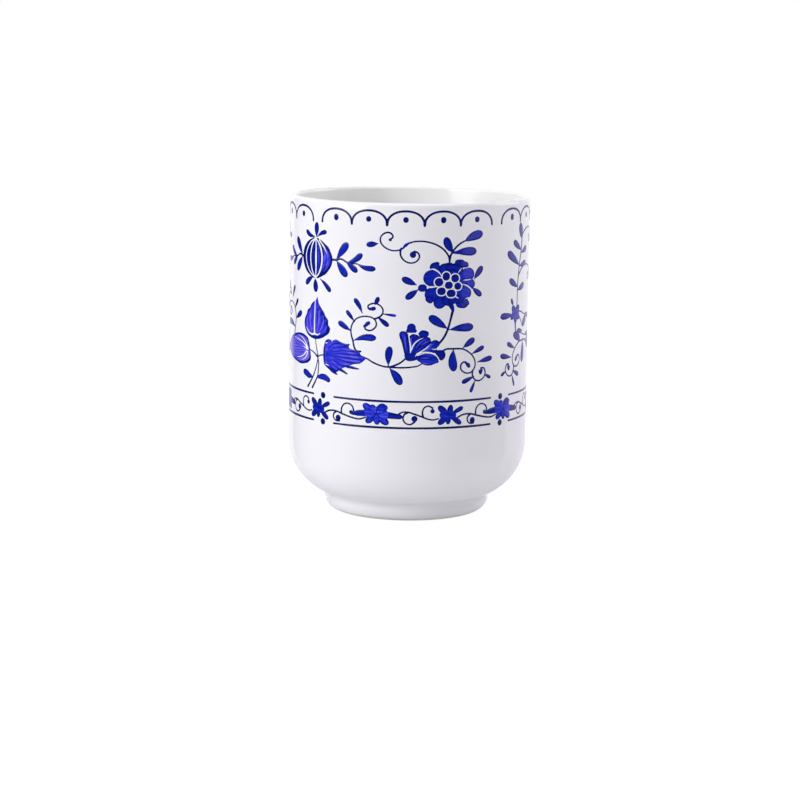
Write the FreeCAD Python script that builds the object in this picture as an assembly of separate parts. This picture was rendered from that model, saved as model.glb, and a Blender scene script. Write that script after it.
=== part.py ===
"""A straight-sided porcelain tea tumbler with a foot ring and a printed blue pattern.

The cup is thrown in one piece of porcelain, so nothing in it moves.  What can be told
apart on the finished cup is the fired clay, the glass skin over it, the small area of
glaze inside the foot ring, and the blue transfers fired onto the glaze, one per motif.

Frame: millimetres, +Z up, origin on the table at the centre of the foot ring.  The
front of the cup faces -Y.  A place in the pattern is given on the unrolled wall, as
(u, z): u is the distance round the wall from the front, positive to the right, and z
is the height above the table.
"""

import FreeCAD
import Part

import math
import os

from FreeCAD import Base, Vector

# Driving dimensions of the cup
CUP_DIAMETER = 66.0
CUP_HEIGHT = 87.0
LIP_THICKNESS = 2.0
WALL_THICKNESS = 3.0
BOWL_RADIUS = 15.6
BOWL_HEIGHT = 19.4
FLOOR_HEIGHT = 6.5
FLOOR_CORNER = 13.0
FOOT_RADIUS = 22.8
FOOT_ROUNDING = 3.5
NECK_ROUNDING = 2.3
WELL_RADIUS = 17.5
WELL_DEPTH = 3.0
WELL_ROUNDING = 0.6
GLAZE_THICKNESS = 0.25
GLAZE_EDGE_HEIGHT = 1.0
PRINT_THICKNESS = 0.06

# Driving dimensions of the pattern
PANELS = 4
ARCHES_PER_PANEL = 5
PANEL_GAP = 3.3
ARCH_TOP = 85.0
ARCH_FOOT = 81.3
RULE_WIDTH = 0.45
BORDER_DOT_HEIGHT = 82.8
BORDER_DOT_RADIUS = 0.75
PANEL_CENTRE = -1.05
BAND_TOP = 35.0
BAND_BOTTOM = 27.7
BAND_MIDDLE = 31.2
RULE_GAP = 7.6
RULE_CENTRE = 1.75
FLOWERS_IN_BAND = 11
FIRST_STAR = 11.0
STEM_WIDTH = 0.55
PATTERN_AXIS = -27.6
FRUIT_AXIS = -28.2
SPRAY_AXIS = 26.2

# Worked out from the dimensions above
PRINT_RADIUS = CUP_DIAMETER / 2
GLAZED_RADIUS = PRINT_RADIUS - PRINT_THICKNESS
CIRCUMFERENCE = 2 * math.pi * PRINT_RADIUS
PANEL_PITCH = CIRCUMFERENCE / PANELS
FLOWER_PITCH = CIRCUMFERENCE / FLOWERS_IN_BAND
HALF_TURN = CIRCUMFERENCE / 2

# A film is made half a turn from the seam of the wall's surface, on the -X side,
# and then turned so that u = 0 faces -Y.
TURN_TO_FRONT = 90

UP = Vector(0, 0, 1)
CENTRE = Vector(0, 0, 0)

# Ends closer than this are the same point
TOUCHING = 1e-6


# The cup itself

def section_point(radius, height):
    """A point of the half section, in the plane through the cup's axis."""
    return Vector(radius, 0, height)


def arc(centre, radius, start_degrees, end_degrees):
    """Edge along a circle in the half section, about a (radius, height) centre."""
    degrees = (start_degrees, (start_degrees + end_degrees) / 2, end_degrees)
    points = [
        section_point(
            centre[0] + radius * math.cos(math.radians(angle)),
            centre[1] + radius * math.sin(math.radians(angle)),
        )
        for angle in degrees
    ]
    return Part.Arc(*points).toShape()


def closed_outline(pieces):
    """The pieces in turn, with a straight edge wherever one doesn't reach the next."""
    outline = []
    for piece, following in zip(pieces, pieces[1:] + pieces[:1]):
        outline.append(piece)
        end = piece.valueAt(piece.LastParameter)
        start = following.valueAt(following.FirstParameter)
        if end.distanceToPoint(start) > TOUCHING:
            outline.append(Part.makeLine(end, start))
    return outline


def cup_form(inset):
    """Solid of revolution lying `inset` inside the glazed surface everywhere but the table.

    The outline runs from the axis under the foot, round the foot ring, up the outside,
    over the lip, down the inside and back to the axis on the cup's floor.
    """
    foot_arc = FOOT_ROUNDING - inset
    foot_middle = FOOT_RADIUS - FOOT_ROUNDING
    bowl_middle = GLAZED_RADIUS - BOWL_RADIUS
    bowl_arc = BOWL_RADIUS - inset
    neck_arc = NECK_ROUNDING + inset
    neck_middle = FOOT_RADIUS + NECK_ROUNDING
    neck_reach = BOWL_RADIUS + NECK_ROUNDING
    neck_height = BOWL_HEIGHT - math.sqrt(neck_reach**2 - (neck_middle - bowl_middle) ** 2)
    neck_angle = math.degrees(math.acos((neck_middle - bowl_middle) / neck_reach))
    lip_arc = LIP_THICKNESS / 2
    lip_height = CUP_HEIGHT - lip_arc
    lip_middle = GLAZED_RADIUS - lip_arc
    corner_middle = GLAZED_RADIUS - WALL_THICKNESS - FLOOR_CORNER
    corner_height = FLOOR_HEIGHT + FLOOR_CORNER
    corner_arc = FLOOR_CORNER + inset
    well_edge = WELL_RADIUS + inset
    well_roof = WELL_DEPTH + inset

    pieces = [
        Part.makeLine(section_point(0, well_roof), section_point(well_edge, well_roof)),
        arc((well_edge + WELL_ROUNDING, WELL_ROUNDING), WELL_ROUNDING, 180, 270),
        arc((foot_middle, foot_arc), foot_arc, -90, 0),
        arc((neck_middle, neck_height), neck_arc, 180, 180 - neck_angle),
        arc((bowl_middle, BOWL_HEIGHT), bowl_arc, -neck_angle, 0),
        arc((lip_middle, lip_height), lip_arc - inset, 0, 180),
        arc((corner_middle, corner_height), corner_arc, 0, -90),
        Part.makeLine(section_point(0, FLOOR_HEIGHT - inset), section_point(0, well_roof)),
    ]
    return Part.Face(Part.Wire(closed_outline(pieces))).revolve(CENTRE, UP, 360).Solids[0]


def porcelain_body():
    """The fired clay: walls, floor and foot ring in one piece."""
    return cup_form(GLAZE_THICKNESS)


def glaze_coats():
    """The two areas of glaze, parted by the bare ring that the cup stands on."""
    unglazed_foot = Part.makeCylinder(CUP_DIAMETER, GLAZE_EDGE_HEIGHT)
    coats = cup_form(0).cut(porcelain_body()).cut(unglazed_foot)
    well_coat, outer_coat = sorted(coats.Solids, key=lambda coat: coat.BoundBox.XLength)
    return outer_coat, well_coat


# Drawing on the unrolled wall

def on_wall(point):
    """A (u, z) place as a point of the drawing plane."""
    return Vector(point[0], point[1], 0)


def curve_through(points):
    """Smooth curve through points of the drawing plane."""
    curve = Part.BSplineCurve()
    curve.interpolate(points)
    return curve


def facing_up(face):
    """The same region of the drawing plane, with its front to the viewer."""
    if face.normalAt(0, 0).z < 0:
        face.reverse()
        face = Part.Face(face.OuterWire)
    return face


def mirrored(shapes, axis=PATTERN_AXIS):
    """Mirror image of a drawing about an upright line of the wall."""
    return [facing_up(shape.mirror(Vector(axis, 0, 0), Vector(1, 0, 0))) for shape in shapes]


def leaf(base, tip, width):
    """Pointed petal or leaf between two places, widest at its middle."""
    start, end = on_wall(base), on_wall(tip)
    bulge = (end - start).cross(UP).normalize() * (width / 2)
    middle = (start + end) * 0.5
    right = Part.Arc(start, middle + bulge, end).toShape()
    left = Part.Arc(end, middle - bulge, start).toShape()
    return Part.Face(Part.Wire([right, left]))


def knob(centre, radius):
    """Round spot, such as a bead, a seed or a lobe of a flower."""
    rim = Part.Circle(on_wall(centre), UP, radius).toShape()
    return Part.Face(Part.Wire([rim]))


def oval(centre, half_width, half_height):
    """Oval that is wider than it is high."""
    rim = Part.Ellipse(on_wall(centre), half_width, half_height).toShape()
    return Part.Face(Part.Wire([rim]))


def stem(points, width=STEM_WIDTH):
    """Line of even width along a smooth curve through the points."""
    curve = curve_through([on_wall(point) for point in points])
    steps = 2 * len(points)
    right, left = [], []
    for step in range(steps + 1):
        share = step / steps
        place = curve.FirstParameter * (1 - share) + curve.LastParameter * share
        point = curve.value(place)
        across = curve.tangent(place)[0].cross(UP).normalize() * (width / 2)
        right.append(point + across)
        left.insert(0, point - across)
    outline = [
        curve_through(right).toShape(),
        Part.makeLine(right[-1], left[0]),
        curve_through(left).toShape(),
        Part.makeLine(left[-1], right[0]),
    ]
    return Part.Face(Part.Wire(outline))


def touching_groups(faces):
    """Sort faces into groups that hang together along shared edges."""
    waiting = list(faces)
    groups = []
    while waiting:
        group = [waiting.pop()]
        known_edges = {edge.hashCode() for edge in group[0].Edges}
        grown = True
        while grown:
            grown = False
            for face in list(waiting):
                face_edges = {edge.hashCode() for edge in face.Edges}
                if face_edges & known_edges:
                    group.append(face)
                    known_edges |= face_edges
                    waiting.remove(face)
                    grown = True
        groups.append(group)
    return groups


def merged(shapes):
    """Join overlapping shapes of the drawing plane, so that no ink lies on ink."""
    first, *others = shapes
    pieces = first.multiFuse(others).Faces if others else [first]
    regions = []
    for group in touching_groups(pieces):
        regions += Part.makeShell(group).removeSplitter().Faces
    return regions


# Laying the drawing round the wall

def wrapped_curve(edge):
    """The edge as a curve in (angle, height) on the wall, half a turn from its seam."""
    flat = edge.Curve.toBSpline(edge.FirstParameter, edge.LastParameter)
    poles = [Base.Vector2d(math.pi + pole.x / PRINT_RADIUS, pole.y) for pole in flat.getPoles()]
    curve = Part.Geom2d.BSplineCurve2d()
    curve.buildFromPolesMultsKnots(
        poles,
        flat.getMultiplicities(),
        flat.getKnots(),
        False,
        flat.Degree,
        flat.getWeights(),
    )
    return curve


def film(region):
    """Closed layer of ink on the glazed wall, with the region's outline."""
    holes = [wire for wire in region.Wires if not wire.isSame(region.OuterWire)]
    outlines = [
        [wrapped_curve(edge) for edge in wire.OrderedEdges]
        for wire in [region.OuterWire] + holes
    ]
    skins = []
    rims = []
    for radius in (GLAZED_RADIUS, PRINT_RADIUS):
        wall = Part.Cylinder()
        wall.Radius = radius
        edge_loops = [[curve.toShape(wall) for curve in outline] for outline in outlines]
        skin = Part.Face(wall, Part.Wire(edge_loops[0]))
        skin.validate()
        if holes:
            skin.cutHoles([Part.Wire(loop) for loop in edge_loops[1:]])
            skin.validate()
        skins.append(skin)
        rims.append([edge for loop in edge_loops for edge in loop])
    sides = [Part.makeRuledSurface(inner, outer) for inner, outer in zip(*rims)]
    shell = Part.makeShell(skins + sides)
    shell.sewShape()
    solid = Part.makeSolid(shell)
    if solid.Volume < 0:
        solid.reverse()
    solid.rotate(CENTRE, UP, TURN_TO_FRONT)
    return solid


def printed(shapes):
    """Films for a drawing, overlapping strokes joined."""
    return [film(region) for region in merged(shapes)]


def shifted(solids, distance):
    """The same films, further round the wall."""
    copies = [solid.copy() for solid in solids]
    for copy in copies:
        copy.rotate(CENTRE, UP, math.degrees(distance / PRINT_RADIUS))
    return copies


def repeated_round(solids, count):
    """The films repeated evenly round the wall."""
    every = []
    for index in range(count):
        every += shifted(solids, index * CIRCUMFERENCE / count)
    return every


# Borders

def arch_panel():
    """Five linked arches of the border under the lip."""
    width = PANEL_PITCH - PANEL_GAP
    pitch = width / ARCHES_PER_PANEL
    left = PANEL_CENTRE - width / 2
    half_line = RULE_WIDTH / 2
    arches = []
    for index in range(ARCHES_PER_PANEL):
        start = left + index * pitch
        middle = start + pitch / 2
        end = start + pitch
        upper = Part.Arc(
            Vector(start - half_line, ARCH_FOOT, 0),
            Vector(middle, ARCH_TOP + half_line, 0),
            Vector(end + half_line, ARCH_FOOT, 0),
        )
        lower = Part.Arc(
            Vector(end - half_line, ARCH_FOOT, 0),
            Vector(middle, ARCH_TOP - half_line, 0),
            Vector(start + half_line, ARCH_FOOT, 0),
        )
        outline = [
            upper.toShape(),
            Part.makeLine(upper.EndPoint, lower.StartPoint),
            lower.toShape(),
            Part.makeLine(lower.EndPoint, upper.StartPoint),
        ]
        arches.append(facing_up(Part.Face(Part.Wire(outline))))
    return arches


def scallop_border():
    """Arches all round, in four panels."""
    panel = printed(arch_panel())
    return repeated_round(panel, PANELS)


def border_dots():
    """One dot under every arch."""
    pitch = (PANEL_PITCH - PANEL_GAP) / ARCHES_PER_PANEL
    offsets = range(-(ARCHES_PER_PANEL // 2), ARCHES_PER_PANEL // 2 + 1)
    dots = [
        knob((PANEL_CENTRE + offset * pitch, BORDER_DOT_HEIGHT), BORDER_DOT_RADIUS)
        for offset in offsets
    ]
    return repeated_round(printed(dots), PANELS)


def band_rules():
    """The two broken rules above and below the flower band."""
    half_length = (PANEL_PITCH - RULE_GAP) / 2
    rules = []
    for height in (BAND_TOP, BAND_BOTTOM):
        ends = [(RULE_CENTRE + side * half_length, height) for side in (-1, 0, 1)]
        rules.append(stem(ends, RULE_WIDTH))
    return repeated_round(printed(rules), PANELS)


def band_dots():
    """A pair of dots in each break of the rules."""
    break_centre = RULE_CENTRE + PANEL_PITCH / 2
    dots = [knob((break_centre, height), BORDER_DOT_RADIUS) for height in (BAND_TOP, BAND_BOTTOM)]
    return repeated_round(printed(dots), PANELS)


# Flower band

def star_flower():
    """Six petals round a core."""
    core = (FIRST_STAR, BAND_MIDDLE)
    reaches = [(-2.6, 2.4), (0.6, 2.4), (4.0, 1.7), (-2.5, -2.2), (0.1, -2.2), (3.3, -2.4)]
    petals = [leaf(core, (core[0] + du, core[1] + dz), 1.5) for du, dz in reaches]
    return petals + [knob(core, 1.3)]


def cluster_flower():
    """Long petal on each side and a row of lobes above and below."""
    return [
        leaf((-15.0, 31.3), (-11.2, 31.3), 1.6),
        leaf((-6.3, 31.0), (-1.8, 30.7), 1.6),
        knob((-8.8, 31.2), 2.6),
        leaf((-9.6, 31.6), (-11.8, 33.7), 1.4),
        leaf((-8.4, 32.0), (-6.2, 34.0), 1.6),
        leaf((-9.5, 30.6), (-11.0, 28.9), 1.4),
        leaf((-7.4, 30.6), (-6.0, 28.7), 1.4),
    ]


def vine_after_cluster():
    """Wavy stem with a curl below and a curl above."""
    return [
        stem([(-2.3, 31.4), (-0.5, 32.2), (1.5, 31.7), (4.0, 30.8), (6.5, 30.0), (8.0, 30.2)]),
        stem([(-0.2, 32.0), (-1.0, 30.6), (-0.1, 29.2), (1.6, 28.8), (2.6, 30.0)]),
        knob((1.6, 30.2), 0.85),
        stem([(4.2, 30.9), (4.3, 32.4), (5.6, 33.6), (6.9, 33.2)]),
        knob((6.7, 32.4), 0.7),
    ]


def vine_after_star():
    """Wavy stem with a small curl and a large one."""
    return [
        stem([(13.9, 30.3), (17.0, 31.1), (20.0, 30.5), (22.2, 30.2)]),
        stem([(16.6, 30.8), (16.4, 29.7), (17.3, 28.9), (18.6, 29.1)]),
        knob((18.2, 29.6), 0.7),
        stem([(19.2, 31.0), (19.3, 32.8), (21.0, 33.9), (22.8, 32.9)]),
        knob((22.1, 31.7), 0.7),
    ]


def join_vine():
    """Short stem with one curl, for the place where two clusters stand side by side."""
    return [
        stem([(-2.3, 31.0), (0.2, 31.8), (1.8, 31.4), (3.5, 31.3)]),
        stem([(0.4, 31.6), (0.0, 30.0), (1.4, 29.0), (2.6, 29.6)]),
        knob((1.8, 30.0), 0.7),
    ]


def band_vine():
    """Flower band round the lower wall: star and cluster in turn, joined by vines.

    An odd number of flowers goes round the cup, so the band closes with two clusters
    side by side at the back.
    """
    pair = printed(star_flower() + vine_after_star())
    pair += printed(cluster_flower() + vine_after_cluster())
    last_cluster = printed(cluster_flower() + join_vine())
    pairs_each_side = FLOWERS_IN_BAND // 4
    band = shifted(last_cluster, 2 * (pairs_each_side + 1) * FLOWER_PITCH)
    for index in range(-pairs_each_side, pairs_each_side + 1):
        band += shifted(pair, 2 * index * FLOWER_PITCH)
    return band


# Sprigs of the main pattern

def twig():
    """Side twig of the striped fruit, with two pairs of leaves and an end leaf."""
    return [
        stem([(-21.9, 71.4), (-20.8, 71.5), (-18.5, 71.8), (-17.0, 71.2), (-14.0, 70.8)]),
        leaf((-20.3, 71.6), (-17.0, 76.0), 1.6),
        leaf((-20.3, 71.4), (-17.2, 67.6), 1.7),
        leaf((-16.6, 71.2), (-13.0, 73.3), 1.2),
        leaf((-17.2, 71.2), (-14.4, 68.7), 1.3),
        leaf((-14.3, 70.9), (-9.2, 69.4), 1.6),
    ]


def fruit():
    """Round striped fruit with a crown of petals above and below."""
    heart = (FRUIT_AXIS, 71.4)
    petals = [
        ((-28.0, 80.6), 1.8), ((-32.6, 78.4), 1.6), ((-24.2, 78.5), 1.6),
        ((-28.1, 62.7), 2.0), ((-32.9, 64.2), 1.8), ((-23.2, 63.6), 1.8),
    ]
    return [oval(heart, 6.0, 5.0)] + [leaf(heart, tip, width) for tip, width in petals]


def fruit_sprigs():
    """The fruit with a twig on each side, at the front and half a turn away."""
    sprig = printed(fruit() + twig() + mirrored(twig(), FRUIT_AXIS))
    return sprig + shifted(sprig, HALF_TURN)


def trefoil():
    """Three big leaves on two crossing stems that rise from the flower band."""
    return [
        leaf((-28.1, 48.5), (-27.8, 61.0), 10.8),
        leaf((-24.8, 46.1), (-11.0, 45.8), 8.6),
        leaf((-30.4, 46.3), (-44.2, 45.6), 8.4),
        stem([(-28.1, 50.0), (-27.6, 47.5), (-27.0, 45.2), (-28.0, 41.5), (-31.5, 36.5)]),
        stem([(-25.2, 46.0), (-26.6, 45.2), (-26.8, 41.5), (-27.5, 39.0), (-29.3, 36.4)]),
        stem([(-30.6, 46.5), (-28.9, 46.0), (-27.2, 44.9)]),
        leaf((-28.9, 39.3), (-33.5, 40.2), 1.5),
        leaf((-27.2, 39.4), (-22.5, 38.9), 1.3),
    ]


def leaf_trefoils():
    """Two groups of three leaves, at the front and half a turn away."""
    leaves = printed(trefoil())
    return leaves + shifted(leaves, HALF_TURN)


def curl_sprig():
    """Tendril with two curls that rises from the side leaf of a trefoil."""
    return [
        stem([(-14.6, 50.2), (-15.3, 51.5), (-15.8, 53.2), (-15.3, 55.0), (-14.2, 56.3), (-12.5, 57.0),
              (-11.0, 57.1), (-9.6, 56.8), (-8.7, 55.9), (-8.6, 54.8), (-9.4, 53.8), (-10.5, 53.4),
              (-11.6, 53.9)]),
        knob((-11.0, 54.6), 0.8),
        leaf((-15.0, 50.5), (-9.0, 51.5), 1.7),
        leaf((-15.7, 53.1), (-19.4, 54.8), 1.5),
        leaf((-14.9, 55.5), (-17.0, 58.1), 1.0),
        leaf((-12.6, 57.0), (-14.6, 61.3), 1.2),
        stem([(-9.3, 56.6), (-8.0, 57.0), (-6.8, 59.0), (-7.4, 60.0), (-8.7, 60.6), (-10.0, 60.5)]),
        knob((-10.0, 59.6), 0.9),
        leaf((-8.6, 60.4), (-8.0, 62.1), 1.0),
        leaf((-7.9, 57.1), (-5.5, 54.9), 1.1),
    ]


def curl_sprigs():
    """A tendril on each side of both trefoils."""
    pair = printed(curl_sprig() + mirrored(curl_sprig()))
    return pair + shifted(pair, HALF_TURN)


def lily():
    """Half-open flower at the branch's first fork."""
    return [
        leaf((-0.2, 46.0), (-1.8, 53.6), 2.3),
        leaf((0.4, 46.2), (2.2, 54.0), 3.6),
        knob((0.7, 54.0), 1.25),
        leaf((0.8, 46.4), (4.5, 53.6), 2.2),
        leaf((0.8, 46.4), (7.2, 50.8), 3.2),
        knob((7.1, 50.3), 1.1),
        leaf((0.6, 46.3), (8.0, 46.0), 2.8),
        knob((8.4, 47.0), 1.2),
    ]


def main_stem():
    """Stem from the side leaf through the lily up to the peony, with its leaves."""
    return [
        stem([(-10.5, 45.7), (-9.0, 44.8), (-6.5, 44.1), (-5.0, 44.1), (-2.5, 45.0), (-0.2, 46.6)]),
        stem([(-5.2, 44.2), (-1.0, 44.0), (2.0, 44.3), (4.0, 45.6)]),
        leaf((-5.2, 44.1), (-4.8, 49.0), 1.9),
        leaf((-5.0, 44.1), (-1.8, 39.9), 2.0),
        stem([(7.6, 50.0), (9.5, 52.0), (10.4, 53.7), (11.0, 55.5), (11.6, 57.5), (11.9, 59.6)]),
        leaf((10.5, 54.0), (5.7, 57.3), 2.0),
        leaf((10.6, 53.9), (17.5, 54.6), 2.0),
    ]


def side_spray():
    """Curled spray to the right of the lily, ending in a tendril over the flower band."""
    return [
        stem([(8.6, 47.6), (10.3, 48.7), (13.0, 48.7), (15.0, 48.6), (17.0, 47.5), (18.3, 46.2),
              (18.8, 44.8), (18.5, 43.3), (17.6, 42.3), (16.4, 42.0), (15.0, 42.5), (14.5, 43.7)]),
        knob((15.6, 44.3), 0.95),
        leaf((12.2, 48.6), (12.3, 43.3), 2.3),
        leaf((15.0, 48.5), (18.1, 51.2), 1.4),
        leaf((17.4, 47.2), (21.0, 48.9), 1.0),
        leaf((18.7, 44.9), (24.2, 45.9), 1.2),
        stem([(18.2, 42.7), (18.2, 41.0), (19.0, 40.1), (20.3, 39.8), (21.6, 40.4), (22.2, 41.6),
              (22.0, 42.8)]),
        knob((20.9, 42.4), 0.95),
        leaf((21.9, 41.0), (24.0, 40.4), 0.9),
        leaf((18.3, 41.0), (15.1, 39.8), 1.2),
    ]


def peony():
    """Full flower: a round heart, lobes all round it, and a bud on the left."""
    heart = (10.6, 65.7)
    lobes = [
        ((6.8, 70.2), 1.5), ((10.7, 70.6), 1.5), ((14.2, 70.4), 1.7), ((5.5, 68.0), 2.0),
        ((6.2, 63.0), 2.1), ((8.2, 61.2), 1.6), ((11.5, 61.0), 1.6), ((14.5, 61.2), 1.7),
        ((15.2, 63.3), 2.0), ((15.7, 68.3), 2.1), ((16.6, 66.0), 1.4),
    ]
    flower = [oval(heart, 5.6, 5.0)] + [knob(place, size) for place, size in lobes]
    leaves = [
        knob((3.4, 65.0), 1.1),
        stem([(3.4, 65.0), (4.4, 65.2), (5.6, 65.4)]),
        leaf((2.7, 65.3), (-1.3, 67.4), 1.5),
        leaf((2.7, 64.7), (-0.6, 62.5), 1.4),
        leaf((16.6, 66.4), (20.4, 69.7), 1.5),
        leaf((16.2, 65.0), (20.1, 62.9), 1.4),
    ]
    return flower + leaves


def peony_tendrils():
    """Two stems over the peony, the left one ending in two curls."""
    return [
        stem([(10.6, 71.0), (10.5, 73.0), (9.5, 74.5), (7.5, 76.1), (5.0, 77.0), (2.5, 77.2),
              (0.5, 77.0), (-1.0, 76.2), (-2.2, 75.2), (-4.0, 74.8), (-5.5, 75.0), (-7.0, 75.9),
              (-7.7, 77.2), (-7.4, 78.3), (-6.5, 79.1), (-5.4, 79.3)]),
        knob((-5.3, 78.3), 0.95),
        stem([(-2.1, 75.3), (-2.2, 74.0), (-1.7, 72.6), (-0.6, 71.8), (0.7, 71.6), (2.0, 72.2),
              (2.5, 73.3)]),
        knob((1.4, 73.8), 0.95),
        leaf((-7.2, 76.2), (-11.2, 76.0), 1.4),
        stem([(10.6, 71.6), (11.3, 74.0), (12.3, 75.4), (14.0, 76.9), (15.4, 77.2)]),
        leaf((15.0, 77.0), (20.0, 78.9), 2.2),
        leaf((11.3, 74.0), (9.5, 77.8), 1.8),
        leaf((11.2, 73.8), (18.1, 74.4), 2.1),
    ]


def peony_branches():
    """The flowering branch and its mirror image on the other side of the front trefoil."""
    shapes = lily() + main_stem() + side_spray() + peony() + peony_tendrils()
    return printed(shapes + mirrored(shapes))


def leafy_spray():
    """Upright spray of paired leaves with a small flower at its foot."""
    pairs = [
        ((37.7, 73.6), (33.5, 75.9), 1.5), ((37.7, 73.2), (42.3, 73.6), 1.5),
        ((36.8, 69.4), (30.7, 73.2), 2.1), ((36.7, 69.2), (41.5, 70.2), 1.3),
        ((35.9, 63.8), (31.8, 66.0), 1.5), ((35.8, 63.2), (39.8, 64.3), 1.5),
        ((35.9, 60.6), (32.4, 61.6), 0.9), ((38.1, 77.0), (36.9, 80.6), 2.2),
    ]
    flower = [
        knob((34.9, 57.2), 2.0),
        leaf((34.0, 56.6), (28.6, 56.5), 1.6),
        leaf((35.0, 56.6), (33.2, 52.6), 1.8),
        leaf((35.6, 57.0), (38.6, 53.0), 1.6),
    ]
    stems = [
        stem([(38.3, 77.5), (38.0, 74.5), (37.4, 71.0), (36.6, 69.0), (36.2, 66.0), (35.8, 63.0),
              (35.4, 58.0), (35.4, 54.5), (35.8, 50.5), (38.5, 48.7)]),
        stem([(38.2, 77.2), (41.0, 78.9), (45.0, 79.2)]),
        stem([(36.1, 66.2), (38.0, 68.0), (40.0, 68.9), (45.0, 68.7)]),
        stem([(36.6, 57.2), (39.5, 56.4), (42.0, 55.5)]),
    ]
    return [leaf(*pair) for pair in pairs] + flower + stems


def leafy_sprays():
    """Sprays towards the back, each standing on a mirrored side spray."""
    spray = leafy_spray() + mirrored(side_spray(), SPRAY_AXIS)
    return printed(spray + mirrored(spray))


def write_node(name, solids):
    """Write one sub-part's solids to its own STEP file."""
    shape = solids[0] if len(solids) == 1 else Part.makeCompound(solids)
    shape.exportStep(f"parts/{name}.step")


def main():
    os.makedirs("parts", exist_ok=True)
    outer_coat, well_coat = glaze_coats()
    write_node("porcelain_body", [porcelain_body()])
    write_node("clear_glaze", [outer_coat])
    write_node("foot_well_glaze", [well_coat])
    write_node("scallop_border", scallop_border())
    write_node("border_dots", border_dots())
    write_node("fruit_sprigs", fruit_sprigs())
    write_node("leaf_trefoils", leaf_trefoils())
    write_node("curl_sprigs", curl_sprigs())
    write_node("peony_branches", peony_branches())
    write_node("leafy_sprays", leafy_sprays())
    write_node("band_rules", band_rules())
    write_node("band_dots", band_dots())
    write_node("band_vine", band_vine())


main()
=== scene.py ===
"""Looks of the porcelain tea tumbler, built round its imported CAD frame.

The blue pattern is drawn on sheets of the unrolled wall, in millimetres: u runs round
the wall from the front, positive to the right, and z is the height above the table.
Each sheet keeps how far every place lies inside the ink and how dark the ink is there.
The sheets then become thin closed films that lie on the glaze.
"""

import math

import bpy
import numpy as np
from mathutils import Matrix, Vector


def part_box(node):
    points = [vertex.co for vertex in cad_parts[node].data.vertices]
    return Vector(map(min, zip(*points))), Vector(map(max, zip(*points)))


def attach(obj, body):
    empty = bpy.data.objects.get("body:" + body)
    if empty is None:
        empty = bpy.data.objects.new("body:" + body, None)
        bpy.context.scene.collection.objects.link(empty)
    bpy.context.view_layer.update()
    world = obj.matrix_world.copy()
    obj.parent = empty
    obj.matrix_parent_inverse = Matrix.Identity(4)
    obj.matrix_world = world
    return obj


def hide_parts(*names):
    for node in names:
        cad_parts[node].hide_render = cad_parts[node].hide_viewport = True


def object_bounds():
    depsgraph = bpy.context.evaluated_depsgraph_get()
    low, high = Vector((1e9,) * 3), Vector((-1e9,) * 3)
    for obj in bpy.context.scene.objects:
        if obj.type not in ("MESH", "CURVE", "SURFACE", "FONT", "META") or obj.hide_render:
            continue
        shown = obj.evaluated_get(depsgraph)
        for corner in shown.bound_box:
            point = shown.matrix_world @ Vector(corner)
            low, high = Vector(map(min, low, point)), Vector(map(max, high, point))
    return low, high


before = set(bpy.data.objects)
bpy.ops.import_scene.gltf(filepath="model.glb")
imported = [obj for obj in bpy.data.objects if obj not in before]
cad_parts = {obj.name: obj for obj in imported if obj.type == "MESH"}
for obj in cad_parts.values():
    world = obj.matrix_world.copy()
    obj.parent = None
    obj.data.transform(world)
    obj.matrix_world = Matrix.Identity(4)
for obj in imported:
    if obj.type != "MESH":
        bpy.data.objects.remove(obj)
cad_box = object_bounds()

# Sizes in millimetres, taken from the frame where it holds them
METRE = 1000.0
glaze_low, glaze_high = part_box("clear_glaze")
body_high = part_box("porcelain_body")[1]
well_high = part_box("foot_well_glaze")[1]
CUP_HEIGHT = glaze_high.z * METRE
PRINT_RADIUS = cad_box[1].x * METRE
GLAZED_RADIUS = glaze_high.x * METRE
GLAZE_THICKNESS = (glaze_high.x - body_high.x) * METRE
GLAZE_EDGE_HEIGHT = glaze_low.z * METRE
WELL_RADIUS = well_high.x * METRE - GLAZE_THICKNESS
WELL_DEPTH = well_high.z * METRE - GLAZE_THICKNESS
WELL_ROUNDING = 0.6
LIP_THICKNESS = 2.0
WALL_THICKNESS = 3.0
BOWL_RADIUS = 15.6
BOWL_HEIGHT = 19.4
FLOOR_HEIGHT = 6.5
FLOOR_CORNER = 13.0
FOOT_RADIUS = 22.8
FOOT_ROUNDING = 3.5
NECK_ROUNDING = 2.3
CIRCUMFERENCE = 2 * math.pi * PRINT_RADIUS
ROUND_STEPS = 256
SHARP_DEGREES = 50

# The pattern's layout
PANELS = 4
FRONT_PANEL = 53.0
SIDE_PANEL = (CIRCUMFERENCE - FRONT_PANEL) / (PANELS - 1)
PANEL_GAP = 3.7
PANEL_CENTRE = -1.05
ARCHES_PER_PANEL = 5
ARCH_TOP = 85.0
ARCH_FOOT = 81.3
BORDER_DOT_HEIGHT = 82.75
BORDER_DOT_WIDTH = 1.42
DOT_WIDTH = 1.7
BAND_TOP = 34.85
BAND_BOTTOM = 27.75
RULE_GAP = 7.8
RULE_CENTRE = 1.65
FLOWERS_IN_BAND = 11
FLOWER_PITCH = CIRCUMFERENCE / FLOWERS_IN_BAND
HALF_TURN = CIRCUMFERENCE / 2
PATTERN_AXIS = -27.6
FRUIT_AXIS = -28.3
SPRAY_AXIS = 26.2
TENDRIL_RISE = 1.1
TENDRIL_SHIFT = 0.6

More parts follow.
